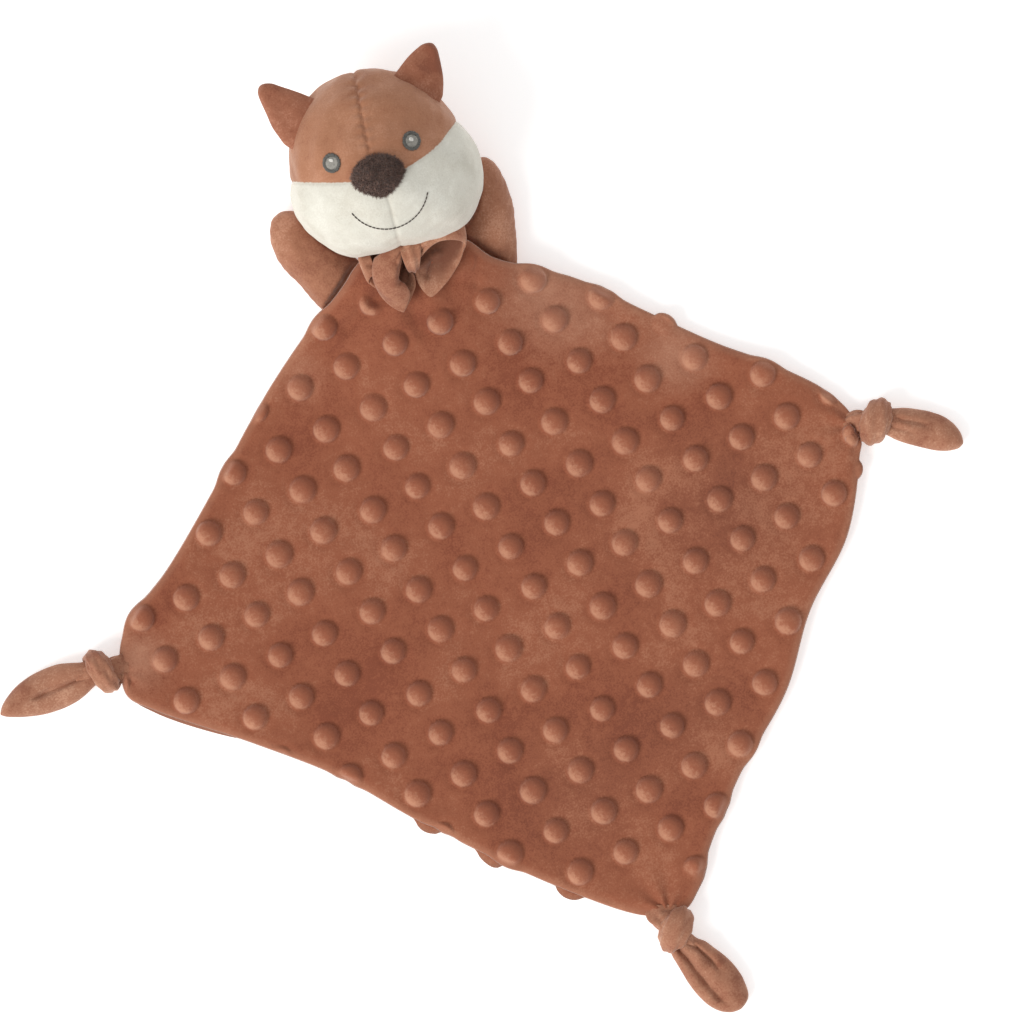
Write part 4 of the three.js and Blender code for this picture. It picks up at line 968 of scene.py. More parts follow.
headPlush = makeHead()
dress(
    headPlush, "head", "head_velour", "head_brow_left", "head_brow_right", "head_cheek_left", "head_cheek_right",
    "head_back_left", "head_back_right", "head_stuffing")
headSkin = BVHTree.FromPolygons(
    [v.co.copy() for v in headPlush.data.vertices], [tuple(p.vertices) for p in headPlush.data.polygons])
print("head: made")


def onHead(x, y, lift):
    # the spot of the head below a place in plan, in metres, lifted by millimetres
    spot, normal, _, _ = headSkin.ray_cast(Vector((x, y, 0.2)), Vector((0, 0, -1)))
    return spot + normal * lift * mm


def onFace(x, y, lift=0.0):
    # the same for a place in the head's own frame, in millimetres
    start = headFrame @ Vector((x * mm, y * mm, 0))
    return onHead(start.x, start.y, lift)


def stitches(name, spots, headings, spans, material, width):
    # one thread piece from the places, directions and lengths of its stitches, in metres
    piece = newPiece(name, np.array(spots) / mm, [], None, heading=np.array(headings), span=np.array(spans))
    return grow(piece, trees["stitches"], width=width * mm, sides=6, material=material)


def reaching(pairs, stretch):
    # places, directions and lengths of stitches from their starts and ends
    return (
        [(start + end) / 2 for start, end in pairs], [(end - start).normalized() for start, end in pairs],
        [(end - start).length * stretch for start, end in pairs])


# face
face = {
    "eyeSpacing": 34, "eyeRaise": 3.1, "eyeWidth": 7.8, "eyeHeight": 8.6,
    "shineAt": {"Left": (0.2, 1.1), "Right": (-0.2, 0.5)}, "ringStitches": 60, "discStitches": 15,
    "ringInner": 0.64, "ringOuter": 0.97, "discEnd": 0.62, "shineReach": 0.19,
    "noseWidth": 21.8, "noseHeight": 17.0, "noseDrop": 7.2, "noseRise": 4.0, "noseSides": 40,
    "noseRings": [1.0, 0.96, 0.88, 0.76, 0.6, 0.42, 0.22],
    "smileRadius": 17.6, "smileDrop": 12, "smileTurn": 67, "smileShift": 1.6, "smileStitches": 24,
    "browSeam": [(22.9, 205.2), (20.3, 190), (17.9, 174.5)], "browGap": 3.3, "browStitch": 1.9,
}


def makeEye(side, sign):
    middleX, middleY = head["face"] + sign * face["eyeSpacing"] / 2, face["eyeRaise"]
    halfWidth, halfHeight = face["eyeWidth"] / 2, face["eyeHeight"] / 2

    def row(shares, lift):
        def spot(x, y):
            return onFace(middleX + x * halfWidth, middleY + y * halfHeight, lift)

        return reaching([(spot(*start), spot(*end)) for start, end in shares], 1.12)

    luck = np.random.default_rng(31 + sign)
    ring = []
    for k in range(face["ringStitches"]):
        angle = fullTurn * k / face["ringStitches"]
        inner = face["ringInner"] + luck.uniform(-0.03, 0.03)
        outer = face["ringOuter"] + luck.uniform(-0.02, 0.02)
        skewed = angle + luck.uniform(0.15, 0.3)
        ring.append((
            (inner * np.cos(angle), inner * np.sin(angle)), (outer * np.cos(skewed), outer * np.sin(skewed))))
    disc = []
    for x in np.linspace(-face["discEnd"], face["discEnd"], face["discStitches"]):
        reach = math.sqrt(0.64 - x * x)
        disc.append(((x - 0.08, -reach), (x + 0.08, reach)))
    shine = []
    for k in (-2, -1, 0, 1, 2):
        x = face["shineAt"][side][0] / halfWidth + k * 0.085
        y = face["shineAt"][side][1] / halfHeight - k * 0.03
        reach = face["shineReach"] * math.sqrt(1 - (k / 3) ** 2)
        shine.append(((x - 0.03, y - reach), (x + 0.03, y + reach)))
    lower = side.lower()
    eyeRing = stitches(f"eyeRing{side}", *row(ring, 0.35), finishes["eyeDark"], 0.62)
    eyeDisc = stitches(f"eyeDisc{side}", *row(disc, 0.2), finishes["eyePale"], 0.62)
    eyeShine = stitches(f"eyeShine{side}", *row(shine, 0.62), finishes["eyeShine"], 0.55)
    dress(eyeRing, "head", "grey_thread", f"eye_ring_{lower}")
    dress(eyeDisc, "head", "grey_thread")
    dress(eyeShine, "head", "silver_thread", f"eye_shine_{lower}")


makeEye("Left", -1)
makeEye("Right", 1)


def noseSpot(angle, share):
    # a spot under the nose, which narrows towards its lower end
    point = max(-math.sin(angle), 0) ** 1.5
    dx = face["noseWidth"] / 2 * math.cos(angle) * (1 - 0.42 * point)
    dy = face["noseHeight"] / 2 * math.sin(angle)
    return onFace(head["face"] + dx * share, -face["noseDrop"] + dy * share) / mm


def makeNose():
    sides, shares = face["noseSides"], face["noseRings"]
    points = []
    for share in shares:
        lift = 0.1 + face["noseRise"] * math.sqrt(max(1 - share**2.2, 0))
        points += [noseSpot(fullTurn * k / sides, share) + Vector((0, 0, lift)) for k in range(sides)]
    crown, under = len(points), len(points) + 1
    points += [noseSpot(0, 0) + Vector((0, 0, lift)) for lift in (face["noseRise"] + 0.1, -0.6)]
    faces = tubeFaces(len(shares), sides, False)
    last = crown - sides
    for s in range(sides):
        n = (s + 1) % sides
        faces.append((last + s, last + n, crown))
        faces.append((under, n, s))
    piece = newPiece("noseFur", points, faces, finishes["nose"])
    return grow(
        piece, trees["fur"], density=6.5e6, hairLength=1.5 * mm, hairWidth=0.3 * mm, seed=5,
        material=finishes["nose"])


nose = dress(makeNose(), "head", "nose_pile", "nose")


def makeSmile():
    spots = []
    for share in np.linspace(-1, 1, face["smileStitches"] + 1):
        angle = math.radians(-90 + face["smileTurn"] * share)
        x = head["face"] + face["smileShift"] + face["smileRadius"] * math.cos(angle)
        spots.append(onFace(x, -face["smileDrop"] + face["smileRadius"] * math.sin(angle), 0.22))
    return stitches("smile", *reaching(list(zip(spots, spots[1:])), 1.08), finishes["mouth"], 0.62)


dress(makeSmile(), "head", "dark_thread", "mouth_thread")


def makeBrowStitches():
    # small sunk stitches across the seam of the brow
    line = np.array(face["browSeam"], float)
    count = int(np.sum(np.linalg.norm(np.diff(line, axis=0), axis=1)) / face["browGap"])
    path = spaced(line, count)
    middles, ways = (path[:-1] + path[1:]) / 2, np.diff(path, axis=0)
    spots = [onHead(x * mm, y * mm, 0.05) for x, y in middles]
    headings = [Vector((x, y, 0)).normalized() for x, y in ways]
    spans = [face["browStitch"] * mm] * len(spots)
    return stitches("browStitches", spots, headings, spans, finishes["seamStitch"], 0.24)


dress(makeBrowStitches(), "head", "dark_thread")
print("face: eyes, nose, smile and stitches")


# padded leaves: ears, arms and tails
def leaf(name, root, away, rows, sides, material):
    # a padded form through rows of (place along it, half width, half height, sideways, height of its middle)
    side = np.array([-away[1], away[0], 0.0])
    points = []
    for along, halfWidth, halfHeight, sideways, height in rows:
        middle = np.array(root, float) + away * along + side * sideways
        middle[2] = height
        for s in range(sides):
            angle = fullTurn * s / sides
            points.append(middle + side * halfWidth * np.cos(angle) + np.array([0, 0, halfHeight * np.sin(angle)]))
    return newPiece(name, capped(points, sides), tubeFaces(len(rows), sides), material)


def rimSeam(rows, sides):
    # 1 at the vertices of both side seams and both ends of a leaf
    held = np.zeros(rows * sides + 2)
    for s in (0, sides // 2):
        held[s: rows * sides: sides] = 1
    held[:sides] = held[(rows - 1) * sides:] = 1
    return held


def seatOf(joint):
    found = next(j for j in frame["joints"] if j["name"] == joint)
    axis = np.array(found["axis"], float)
    return np.array(found["pos_m"], float) / mm, np.array([axis[1], -axis[0], 0.0]) / np.linalg.norm(axis[:2])


def outlineOf(pairs):
    # middle and half width along a leaf, and the places of its rows, closer together at the tip
    along, middles, halves = np.array(pairs, float).T
    tip = along[-1]
    places = np.concatenate([np.linspace(along[0], 0.88 * tip, 30), np.linspace(0.9 * tip, tip, 9)])
    return smoothTable(list(zip(along, middles))), smoothTable(list(zip(along, halves))), places, tip


def leafPlaces(spots, root, away, middleAt, halfAt, least):
    # for each spot of a leaf, how far along it lies and its share of the half width sideways
    along = (spots - root) @ away
    sideways = (spots - root) @ np.array([-away[1], away[0], 0.0])
    return along, (sideways - middleAt(along)) / np.maximum(halfAt(along), least)


def hinge(piece, parent, child, start, end, slot, fill, *nodes):
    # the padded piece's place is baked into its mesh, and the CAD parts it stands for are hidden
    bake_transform(piece)
    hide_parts(*nodes)


# the outlines read (place along the ear, sideways middle, half width), from its hinge
ears = {
    "root": 5.6, "tip": 3.4, "cup": 1.6, "air": 0.7, "sides": 32, "hollow": 0.8, "lump": 0.18,
    "left": [
        (-9, 0.3, 11.8), (-3.5, 0.25, 11.3), (0, -0.4, 10.3), (4, -1.15, 9.0), (9, -2.7, 6.6), (13, -3.9, 4.7),
        (15.3, -4.3, 3.1), (16.6, -4.5, 1.6), (17.0, -4.6, 0.3),
    ],
    "right": [
        (-9, 0.2, 11.4), (-3, 0.25, 10.9), (0, 0.8, 10.1), (4, 1.75, 8.6), (9.3, 3.35, 5.5), (11.5, 3.95, 3.9),
        (12.8, 4.1, 2.6), (13.6, 4.3, 1.3), (13.9, 4.4, 0.3),
    ],
}


def makeEar(side):
    seat, away = seatOf(f"ear_{side}_flap")
    middleAt, halfAt, places, tip = outlineOf(ears[side])
    rows = []
    for place in places:
        share, half = place / tip, float(halfAt(place))
        thick = (ears["root"] * (1 - share) + ears["tip"] * share) / 2 * min(1, half / 3.2)
        rows.append((place, half, max(thick, 0.15), float(middleAt(place)), seat[2] - ears["cup"] * share**2))
    sides = ears["sides"]
    piece = leaf(f"ear{side.title()}", seat, away, rows, sides, finishes["ear"])
    puffed(piece, rimSeam(len(rows), sides), ears["air"])
    # a slight hollow in the front
    spots = coordinates(piece) / mm
    along, sideways = leafPlaces(spots, seat, away, middleAt, halfAt, 0.3)
    share = along / tip
    lengthwise = smoothstep(share, 0.05, 0.35) * (1 - smoothstep(share, 0.6, 0.95))
    hollow = ears["hollow"] * np.exp(-((sideways / 0.5) ** 2)) * lengthwise * (spots[:, 2] > seat[2] - 0.5)
    spots[:, 2] += ears["lump"] * waves(spots[:, 0], spots[:, 1], 41, 7) - hollow
    moveTo(piece, spots * mm)
    subdivided(piece, 1)
    hinge(
        piece, "head", f"ear_{side}", seat - away, seat + away * 5, "head_velour", 0.4,
        f"ear_front_{side}", f"ear_back_{side}")


# the swell reads (share of the length, share of the width, share of the thickness)
arms = {
    "width": 26.5, "thick": 18, "air": 1.0, "start": 0.97, "sides": 44,
    "left": {"length": 49, "root": 4, "room": 9}, "right": {"length": 44.5, "root": 5.6, "room": 12.2},
    "swell": [
        (-0.1, 0.55, 0), (0, 0.88, 0), (0.2, 0.93, 0.4), (0.42, 0.98, 0.84), (0.66, 1, 1), (0.86, 0.94, 0.98),
        (1.0, 0.78, 0.84), (1.1, 0.57, 0.62), (1.17, 0.3, 0.34), (1.19, 0.08, 0.1),
    ],
}


def pressed(spots, room):
    # flat under the blanket and under the head that lie on the arm
    cover = np.where(insideBlanket(spots[:, :2]), 1.0, 1 - smoothstep(fromLine(spots[:, :2], edgeLoop), 0.4, 5))
    limit = room + (1 - cover) * 20
    spots[:, 2] = np.where(spots[:, 2] > limit, limit + (spots[:, 2] - limit) * 0.05, spots[:, 2])
    back = np.array(headFrame.inverted())
    x, y, _ = (((spots * mm) @ back[:3, :3].T + back[:3, 3]) / mm).T
    halfHeight = head["height"] / 2 + 4
    lean, halfWidth, halfDepth = headSize(np.clip(y / halfHeight, -1, 1), head["around"])
    across = (x - lean) / halfWidth
    underHead = head["middle"][2] - halfDepth * np.sqrt(1 - np.clip(across, -1, 1) ** 2)
    isUnder = (np.abs(across) < 1) & (np.abs(y) < halfHeight) & (spots[:, 2] > underHead)
    spots[:, 2] = np.where(isUnder, np.maximum(underHead, 0.5), spots[:, 2])
    return spots


def makeArm(side):
    facts, half = arms[side], arms["thick"] / 2
    root, away = seatOf(f"arm_{side}_fold")
    widths = smoothTable([(s, w) for s, w, _ in arms["swell"]])
    rises = smoothTable([(s, h) for s, _, h in arms["swell"]])
    start = arms["start"]
    rows = []
    for share in np.concatenate([np.linspace(-0.09, 1.0, 34), np.linspace(1.02, 1.188, 12)]):
        rise = float(rises(share))
        rising = facts["root"] * (1 - rise) + half * rise
        halfHeight = rising if share < 0.9 else half * rise
        if share < 0:
            halfHeight *= 1 - (share / 0.1) ** 2 * 0.6
        halfHeight = max(halfHeight * start, 0.3)
        halfWidth = arms["width"] / 2 * float(widths(share)) * start
        rows.append((facts["length"] * share, halfWidth, halfHeight, 0.0, rising if share < 0.7 else half))
    sides = arms["sides"]
    piece = leaf(f"arm{side.title()}", root, away, rows, sides, finishes["arm"])
    puffed(piece, rimSeam(len(rows), sides), arms["air"])
    subdivided(piece, 1)
    spots = pressed(coordinates(piece) / mm, facts["room"])
    x, y, z = spots.T
    lumps = 0.4 * waves(x + z, y, 51, 16) + 0.12 * waves(x, y + z, 52, 6)
    spots += vectors(piece.data.vertices, "normal") * lumps[:, None]
    moveTo(piece, aboveTable(spots) * mm)
    hinge(
        piece, "blanket", f"arm_{side}", root - away * 2, root + away * 6, "velour", 0.6,
        f"arm_front_{side}", f"arm_back_{side}", f"arm_stuffing_{side}")


for side in ("left", "right"):
    makeEar(side)
for side in ("left", "right"):
    makeArm(side)
print("ears and arms: made")

# corner straps: knots and tails
# outlines as the ears'; a crease reads (sideways share, depth, width share, first and last share of the length)
straps = {
    "pitch": 5.3, "stretch": 1.28, "tight": (0.8, 0.71, 0.78), "radius": 3.7, "wrapReach": 0.3, "distance": 7.7,
    "rise": 6.54, "hingeReach": 10.4, "hingeOffset": 3.1, "sides": 40, "rings": 150, "pathEnd": 1.06,
    "flatHeight": 3.2, "flatRings": 34, "narrowRings": 12, "smoothings": 6,
    "right": {
        "turn": -2, "handed": 1, "strapWidth": 6.2, "wrapWidth": 0.8,
        "outline": [
            (-7, -1.6, 5.2), (-4, -1.5, 5.9), (0, -1.4, 7.0), (5, -1.3, 7.5), (10, -1.2, 7.7), (15, -1.35, 7.5),
            (20, -1.8, 6.4), (24, -2.4, 4.3), (26, -2.9, 2.4), (27, -3.1, 0.4),
        ],
        "creases": [(0.28, 1.3, 0.16, -0.2, 0.5), (-0.3, 0.8, 0.14, -0.2, 0.3)],
    },
    "left": {
        "turn": 160, "handed": -1, "strapWidth": 6.0, "wrapWidth": 0.42,
        "outline": [
            (-7, 0.5, 5.2), (-5, 0.45, 5.7), (0, 0.15, 7.6), (5, -0.3, 8.9), (10, -0.6, 9.2), (15, -0.95, 8.95),
            (20, -1.25, 8.1), (25, -1.5, 6.6), (30, -1.45, 4.3), (33, -1.2, 2.4), (34.9, -0.9, 0.4),
        ],
        "creases": [(0.05, 3.6, 0.1, -0.2, 0.66)],
    },
    "bottom": {
        "turn": -83, "handed": -1, "strapWidth": 7.8, "wrapWidth": 0.85,
        "outline": [
            (-7, -3.0, 5.4), (-3, -3.0, 6.3), (0, -2.1, 7.5), (5, -1.6, 8.5), (10, -1.1, 9.5), (15, -0.7, 9.9),
            (20, -0.4, 9.6), (25, -0.1, 8.3), (28, 0.35, 6.8), (30, 0.65, 4.9), (31.2, 0.6, 2.8), (31.8, 0.6, 0.4),
        ],
        "creases": [(-0.38, 3.0, 0.17, -0.1, 0.9), (0.4, 2.6, 0.1, -0.2, 0.5)],
    },
    "tailHeight": 9.8, "air": 1.2, "lump": 0.25, "topFrom": 3.5, "topTo": 6,
    "tailSwell": [
        (-0.25, 0.84), (0.0, 0.92), (0.2, 0.97), (0.45, 1), (0.7, 0.96), (0.87, 0.8), (0.96, 0.52), (1.0, 0.12),
    ],
}


def knotPath(share):
    # an overhand knot's line through its turns
    t = np.pi * share
    wide, deep, high = np.array(straps["tight"]) * straps["pitch"]
    return np.array([
        wide * straps["stretch"] * (0.23 * t - 1.03 * math.sin(t)),
        deep * (-0.98 * math.sin(2 * t) - 0.61 * math.sin(t)),
        high * (0.5 * math.cos(t) + 0.86 * math.cos(2 * t)) + straps["rise"],
    ])


def strapLine(side):
    # the strap's middle from the blanket's corner through the knot, and how much of it is the wrap
    facts, level = straps[side], blanket["seamLevel"]
    shares = np.linspace(-straps["pathEnd"], straps["pathEnd"], 34)
    start = [(-straps["distance"] - 3, 0, level + 0.3), (-straps["distance"], 1.55, level + 1.2)]
    end = (straps["hingeReach"], -straps["hingeOffset"], straps["rise"])
    wrap = np.array([0, 0, *np.exp(-((shares / straps["wrapReach"]) ** 2)), 0])
    line = np.array([*start, *(knotPath(share) for share in shares), end])
    line = spaced(np.concatenate([line, wrap[:, None]], 1), straps["rings"])
    wrap = line[:, 3].copy()
    for _ in range(straps["smoothings"]):
        line[1:-1] = line[1:-1] / 2 + (line[:-2] + line[2:]) / 4
    line = line[:, :3]
    line[:, 1] *= facts["handed"]
    turn = math.radians(facts["turn"])
    lengthwise = np.array([math.cos(turn), math.sin(turn), 0])
    spin = np.array([lengthwise, [-math.sin(turn), math.cos(turn), 0], [0, 0, 1]])
    return line @ spin + np.array([*blanket[side], 0]) + straps["distance"] * lengthwise, wrap, lengthwise


def makeKnot(side):
    facts, sides, count = straps[side], straps["sides"], straps["rings"]
    line, wrap, lengthwise = strapLine(side)
    ahead = np.gradient(line, axis=0)
    ahead /= np.linalg.norm(ahead, axis=1)[:, None]
    across = np.cross([0, 0, 1.0], ahead[0])
    points = []
    for k in range(count):
        across = across - ahead[k] * (across @ ahead[k])
        across /= np.linalg.norm(across)
        upward = np.cross(ahead[k], across)
        # wide and flat where it leaves the blanket, narrow at its end
        flat = max(1 - k / straps["flatRings"], 0) ** 0.8
        radius = straps["radius"] * (1 - 0.3 * max((k - count + straps["narrowRings"]) / straps["narrowRings"], 0))
        wide = radius + (facts["strapWidth"] - straps["radius"]) * flat
        high = radius + (straps["flatHeight"] - straps["radius"]) * flat
        for s in range(sides):
            angle, twist = fullTurn * s / sides, 0.03 * k
            pleat = 1 + 0.08 * math.cos(6 * (angle + twist)) + 0.035 * math.cos(11 * (angle - twist) + 1)
            offset = across * wide * pleat * math.cos(angle) + upward * high * pleat * math.sin(angle)
            # the turn that lies over the knot is spread into a broad band
            offset = offset + lengthwise * (offset @ lengthwise) * facts["wrapWidth"] * wrap[k]
            points.append(line[k] + offset)
    points = aboveTable(capped(points, sides))
    piece = newPiece(f"knot{side.title()}", points, tubeFaces(count, sides), finishes["bow"])
    dress(piece, "blanket", "velour", f"corner_knot_{side}")


def makeTail(side):
    facts, half = straps[side], straps["tailHeight"] / 2
    root, back = seatOf(f"tail_{side}_flap")
    away = -back
    middleAt, halfAt, places, tip = outlineOf(facts["outline"])
    rises = smoothTable(straps["tailSwell"])
    rows = []
    for place in places:
        settled = smoothstep(place / tip, 0.0, 0.4)
        height = root[2] * (1 - settled) + (half - 0.5) * settled
        halfHeight = max(half * float(rises(place / tip)), 0.2)
        rows.append((place, float(halfAt(place)), halfHeight, float(middleAt(place)), height))
    piece = leaf(f"tail{side.title()}", root, away, rows, straps["sides"], finishes["bow"])
    subdivided(piece, 1)
    spots = coordinates(piece) / mm
    along, sideways = leafPlaces(spots, root, away, middleAt, halfAt, 0.5)
    share = along / tip
    top = smoothstep(spots[:, 2], straps["topFrom"], straps["topTo"])
    held = (np.abs(np.abs(sideways) - 1) < 0.02).astype(float)
    for middle, depth, width, first, last in facts["creases"]:
        reach = smoothstep(share, first - 0.15, first) * (1 - smoothstep(share, last - 0.25, last))
        near = np.exp(-(((sideways - middle) / width) ** 2))
        spots[:, 2] -= depth * near * reach * top
        held = np.maximum(held, (near > 0.85) * (reach > 0.5) * (top > 0.5))
    spots[:, 2] += straps["lump"] * waves(spots[:, 0], spots[:, 1], 61 + len(side), 9) * top
    moveTo(piece, aboveTable(spots) * mm)
    puffed(piece, held, straps["air"])
    moveTo(piece, aboveTable(coordinates(piece)))
    hinge(
        piece, "blanket", f"tail_{side}", root - away * 3, root + away * 4, "velour", 0.5, f"corner_tail_{side}")


for side in ("right", "left", "bottom"):
    makeKnot(side)
    makeTail(side)
print("straps: knots and tails")

# bow
# each sheet is led by its front edge, its middle and its back edge, from the pinch and back to it
# a crease reads (start, end, lift, width, the leaf it lies in: below or above the split)
bow = {
    "thick": 1.3, "rows": 64, "across": 30, "split": 33, "leanAt": (19.5, 128.5), "leanFrom": 26, "leanTo": 36,
    "gather": 0.7, "gatherReach": 0.13, "lump": 0.22,
    "right": {
        "front": [
            (18.5, 121.5, 28), (17.4, 116.5, 27.5), (18.4, 111, 27.3), (21, 107.4, 27.3), (29, 111, 28),
            (38.3, 118.6, 29.5), (41.2, 123.3, 33), (37.6, 126.3, 37.5), (31.6, 127.8, 39.6), (26, 126.4, 38.6),
            (22.4, 124.4, 36),
        ],
        "middle": [
            (19.5, 123, 27.6), (21.5, 121.5, 26.8), (24.5, 120, 26.6), (30, 118.5, 27), (36.5, 120.8, 28.5),
            (41.6, 124.9, 31.5), (42.9, 127.6, 34.8), (39, 129.4, 38.4), (31.4, 130.4, 40.2), (26, 129.4, 39.6),
            (22.2, 127.8, 37.8),
        ],
        "back": [
            (20.5, 126, 27), (23, 128.5, 27), (28, 130.5, 27), (35, 131.8, 28), (40.6, 132.3, 29.5),
            (43.4, 131.4, 31.8), (43.2, 131.4, 34), (39.5, 132, 36.5), (32, 133, 38), (26.5, 132.8, 37.6),
            (21.8, 131.5, 36.8),
        ],
        "creases": [
            ((20.6, 121.8), (29.6, 123.2), 2.0, 1.5, "below"), ((26.2, 122), (22.4, 116.2), -2.0, 1.3, "below"),
        ],
    },
    "left": {
        "front": [
            (16, 121.5, 28), (17.3, 118.3, 29), (16.6, 114.8, 29.5), (13.4, 110.6, 29), (7.8, 105.4, 28.3),
            (10.8, 108.4, 31), (13.2, 112.4, 33), (12.4, 116.4, 35), (10.6, 119, 36.6), (12, 122.4, 37.4),
            (14.6, 126.6, 36.6),
        ],
        "middle": [
            (16.3, 124, 27), (13.5, 121, 26.4), (9.5, 118, 26.4), (5, 116.8, 27.2), (1.3, 117.6, 29.5),
            (1.5, 118.4, 33), (4.4, 118.8, 36.6), (7, 120, 38.4), (9.4, 122.4, 39.2), (12.4, 125.6, 39),
            (15.6, 128.8, 37.8),
        ],
        "back": [
            (17, 127, 27), (13.5, 129.2, 27), (9.5, 130.6, 27.4), (6.4, 131.2, 28.5), (4.6, 131, 30.5),
            (4.6, 131, 33), (6.2, 131.4, 35.2), (8.6, 132, 36.6), (11, 132.4, 37.4), (14, 132.4, 37.6),
            (17, 132, 37),
        ],
        "creases": [
            ((12.6, 124.5), (10.4, 117.6), -1.5, 1.2, "above"), ((9.5, 112), (11.5, 126), 0.5, 3.0, "below"),
        ],
    },
    "flap": {
        "front": [
            (9, 118, 27.6), (4, 116.8, 28), (0.6, 118.6, 29.4), (-1.2, 122, 30.6), (0.6, 124.2, 32.2),
            (2.8, 122.8, 31.4),
        ],
        "middle": [(9.5, 124, 27.8), (5, 124, 28), (1, 125, 29.4), (-1.7, 126, 31), (-0.2, 127, 33), (3, 126.6, 32.2)],
        "back": [
            (10, 132, 28), (6, 133.4, 28.2), (2, 133.8, 29.2), (-1.8, 133.6, 30.2), (-0.8, 133.4, 31.6),
            (3, 133, 31.4),
        ],
        "creases": [],
    },
    "band": {
        "at": (19.2, 126.6, 33.2), "reachY": 5.6, "reachZ": 6.6, "width": 9.4, "thick": 1.5, "lean": 14,
        "rings": 72, "sides": 24,
    },
}


def foldedSheet(name, facts, rows, columns):
    def guide(label):
        line = np.array(facts[label], float)
        t, fine = np.linspace(0, 1, len(line)), np.linspace(0, 1, rows + 1)
        return np.stack([smoothTable(list(zip(t, line[:, k])))(fine) for k in range(3)], 1)

    front, middle, back = guide("front"), guide("middle"), guide("back")
    w = np.linspace(-1, 1, columns + 1)[None, :, None]
    grid = front[:, None] * w * (w - 1) / 2 + middle[:, None] * (1 - w * w) + back[:, None] * w * (w + 1) / 2
    # gathers run out from the pinch, and single creases lie where they are led
    s = np.linspace(0, 1, rows + 1)[:, None]
    gather = bow["gather"] * np.exp(-((np.minimum(s, 1 - s) / bow["gatherReach"]) ** 2))
    across = w[..., 0] * np.ones_like(s)
    x, y, z = grid[..., 0], grid[..., 1], grid[..., 2]
    z += gather * np.cos(across * 8.5 + 0.7) + bow["lump"] * waves(x + z, y, 71, 9)
    for start, end, lift, width, leafSide in facts["creases"]:
        isLeaf = z < bow["split"] if leafSide == "below" else z > bow["split"]
        z += np.where(isLeaf, lift * creaseShare(x, y, start, end, width), 0)
    along = np.gradient(grid, axis=0)
    over = np.gradient(grid, axis=1)
    out = np.cross(over, along)
    area = float(np.linalg.norm(out, axis=2).sum()) * mm * mm
    out /= np.maximum(np.linalg.norm(out, axis=2), 1e-9)[..., None]
    half = bow["thick"] / 2 * np.sqrt(np.maximum(1 - np.abs(across) ** 8, 0.02))[..., None]
    points = np.concatenate([(grid + out * half).reshape(-1, 3), (grid - out * half).reshape(-1, 3)])
    # painted shade: the side that looks into the loop is darkened towards its back and low down, where the upper leaf
    # shades it
    inside = (smoothstep(across, -0.8, 0.2) * (1 - smoothstep(z, 30, 36))).ravel()
    facesIn = np.sum(out * (grid.mean((0, 1)) - grid)) > 0
    hollow = np.concatenate([inside * facesIn, inside * (not facesIn)])
    base = (rows + 1) * (columns + 1)
    index = np.arange(base).reshape(rows + 1, columns + 1)
    faces = gridFaces(index, True) + flipped(gridFaces(index + base, True))
    edge = np.concatenate([index[:-1, 0], index[-1, :-1], index[:0:-1, -1], index[0, :0:-1]]).tolist()
    faces += [(a, b, base + b, base + a) for a, b in zip(edge, edge[1:] + edge[:1])]
    piece = subdivided(newPiece(name, points, faces, finishes["bow"], hollow=hollow), 1)
    length = float(np.linalg.norm(np.diff(middle, axis=0), axis=1).sum())
    width = float(np.linalg.norm(np.diff(grid, axis=1), axis=2).sum(1).max())
    return piece, (width * mm, length * mm), area


def leanWithChin(piece, *nodes):
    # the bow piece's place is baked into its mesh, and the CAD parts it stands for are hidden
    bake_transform(piece)
    if nodes:
        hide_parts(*nodes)
    return piece


def makeBow(name, label, *nodes):
    piece, flat, area = foldedSheet(name, bow[label], bow["rows"], bow["across"])
    leanWithChin(piece, *nodes)
    min(area, flat[0] * flat[1])
    print("bow:", name, [round(v, 4) for v in flat], round(area, 5))


makeBow("bowWingRight", "right", "bow_wing_right")
makeBow("bowWingLeft", "left", "bow_wing_left")
makeBow("bowBackFlap", "flap")


def makeBand():
    # the wrap round the pinch
    facts = bow["band"]
    rings, sides = facts["rings"], facts["sides"]
    sway = math.sin(math.radians(facts["lean"])) * facts["reachY"]
    points = []
    for k in range(rings):
        angle = fullTurn * k / rings
        y, z = math.cos(angle), math.sin(angle)
        middle = np.array(facts["at"]) + np.array([sway * y, facts["reachY"] * y, facts["reachZ"] * z])
        wide = facts["width"] / 2 * (0.72 + 0.28 * math.cos(angle - 0.6))
        for s in range(sides):
            turn = fullTurn * s / sides
            fold = 0.45 * math.cos(3 * math.cos(turn) * 2.2 + 0.8 * math.sin(2 * angle))
            swell = 0.9 * (1 - math.cos(turn) ** 2)
            out = facts["thick"] / 2 * math.sin(turn) + swell + fold
            points.append(middle + np.array([wide * math.cos(turn), y * out, z * out]))
    index = np.pad(np.arange(rings * sides).reshape(rings, sides), ((0, 1), (0, 1)), mode="wrap")
    return newPiece("bowBand", np.array(points), gridFaces(index, True), finishes["bow"])


bowBand = leanWithChin(makeBand(), "bow_centre_band")
print("bow: made")

# neck
neck = {
    "at": (19.5, 128.5, 24), "radius": 6, "rings": 28, "sides": 54, "pleats": 9, "pleatDepth": 0.07,
    "threadAt": 2.4, "threadReach": 0.82, "threadStitches": 44, "threadStitch": 1.7,
}


def aroundNeck(along, reach, turn):
    # a spot beside the neck's axis, which runs along y
    x, y, z = neck["at"]
    return x + reach * math.sin(turn), y + along, z + reach * math.cos(turn)


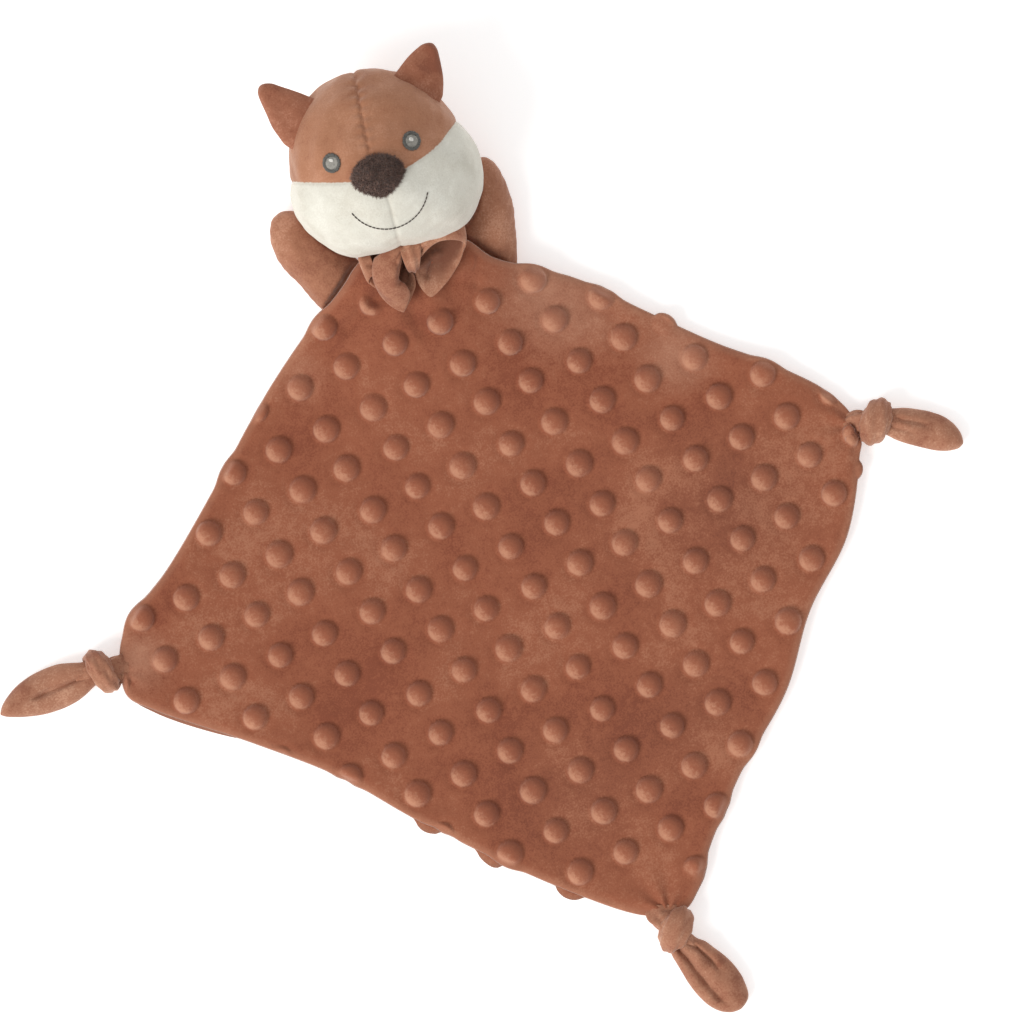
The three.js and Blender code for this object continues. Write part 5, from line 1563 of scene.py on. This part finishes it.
def makeNeck():
    rings, sides, radius = neck["rings"], neck["sides"], neck["radius"]
    points = []
    for k in range(1, rings):
        angle = np.pi * k / rings
        squeeze = 1 - 0.16 * math.exp(-(((-math.cos(angle) - 0.4) / 0.18) ** 2))
        for s in range(sides):
            turn = fullTurn * s / sides
            pleat = 1 - neck["pleatDepth"] * (1 - math.cos(neck["pleats"] * turn))
            points.append(aroundNeck(-radius * math.cos(angle), radius * math.sin(angle) * pleat * squeeze, turn))
    points += [aroundNeck(-radius, 0, 0), aroundNeck(radius, 0, 0)]
    return newPiece("neckGather", np.array(points), tubeFaces(rings - 1, sides), finishes["bow"])


neckGather = dress(makeNeck(), "neck", "velour", "neck_gather")


def makeTie():
    # thread wound twice round the gathered plush
    count = neck["threadStitches"]
    spots, headings = [], []
    for k in range(count):
        angle = 2 * fullTurn * k / count
        along = neck["threadAt"] + 0.25 * (2 * k / count - 1)
        spots.append(Vector(aroundNeck(along, neck["radius"] * neck["threadReach"], angle)) * mm)
        headings.append(Vector((math.cos(angle), 0, -math.sin(angle))))
    return stitches("neckThread", spots, headings, [neck["threadStitch"] * mm] * count, finishes["mouth"], 0.5)


dress(makeTie(), "neck", "dark_thread", "neck_tie_thread")
print("neck: made")

# floor and lights
floorMaterial, floorBoard = newMaterial("studioFloor")
floorGrain = floorBoard.clamp(floorBoard.noise(3.0), 0.3, 0.7)
floorColour = floorBoard.mix(floorGrain, studio["floor"], studio["floorPale"])
finishMaterial(
    floorBoard, floorColour, 0.9, {"Emission Color": (1, 1, 1, 1), "Emission Strength": studio["glow"]})
floorMesh = bpy.data.meshes.new("floor")
corners = [(studio["floorReach"] * x, studio["floorReach"] * y, 0) for x, y in ((-1, -1), (1, -1), (1, 1), (-1, 1))]
floorMesh.from_pydata(corners, [], [(0, 1, 2, 3)])
floorMesh.materials.append(floorMaterial)
floor = bpy.data.objects.new("floor", floorMesh)
floor.location.z = studio["floorLevel"]
scene.collection.objects.link(floor)

sky = bpy.data.worlds.new("studioSky")
sky.use_nodes = True
sky.node_tree.nodes["Background"].inputs[0].default_value = (1, 1, 1, 1)
sky.node_tree.nodes["Background"].inputs[1].default_value = studio["sky"]
scene.world = sky
key = bpy.data.lights.new("keyLight", "SUN")
key.energy = studio["key"]
key.angle = math.radians(studio["keySpread"])
key.color = studio["keyTint"]
keyObject = bpy.data.objects.new("keyLight", key)
rise = math.radians(studio["keyHeight"])
towards = Vector((studio["keyFrom"][0] * math.cos(rise), studio["keyFrom"][1] * math.cos(rise), math.sin(rise)))
keyObject.rotation_euler = towards.to_track_quat("Z", "Y").to_euler()
scene.collection.objects.link(keyObject)
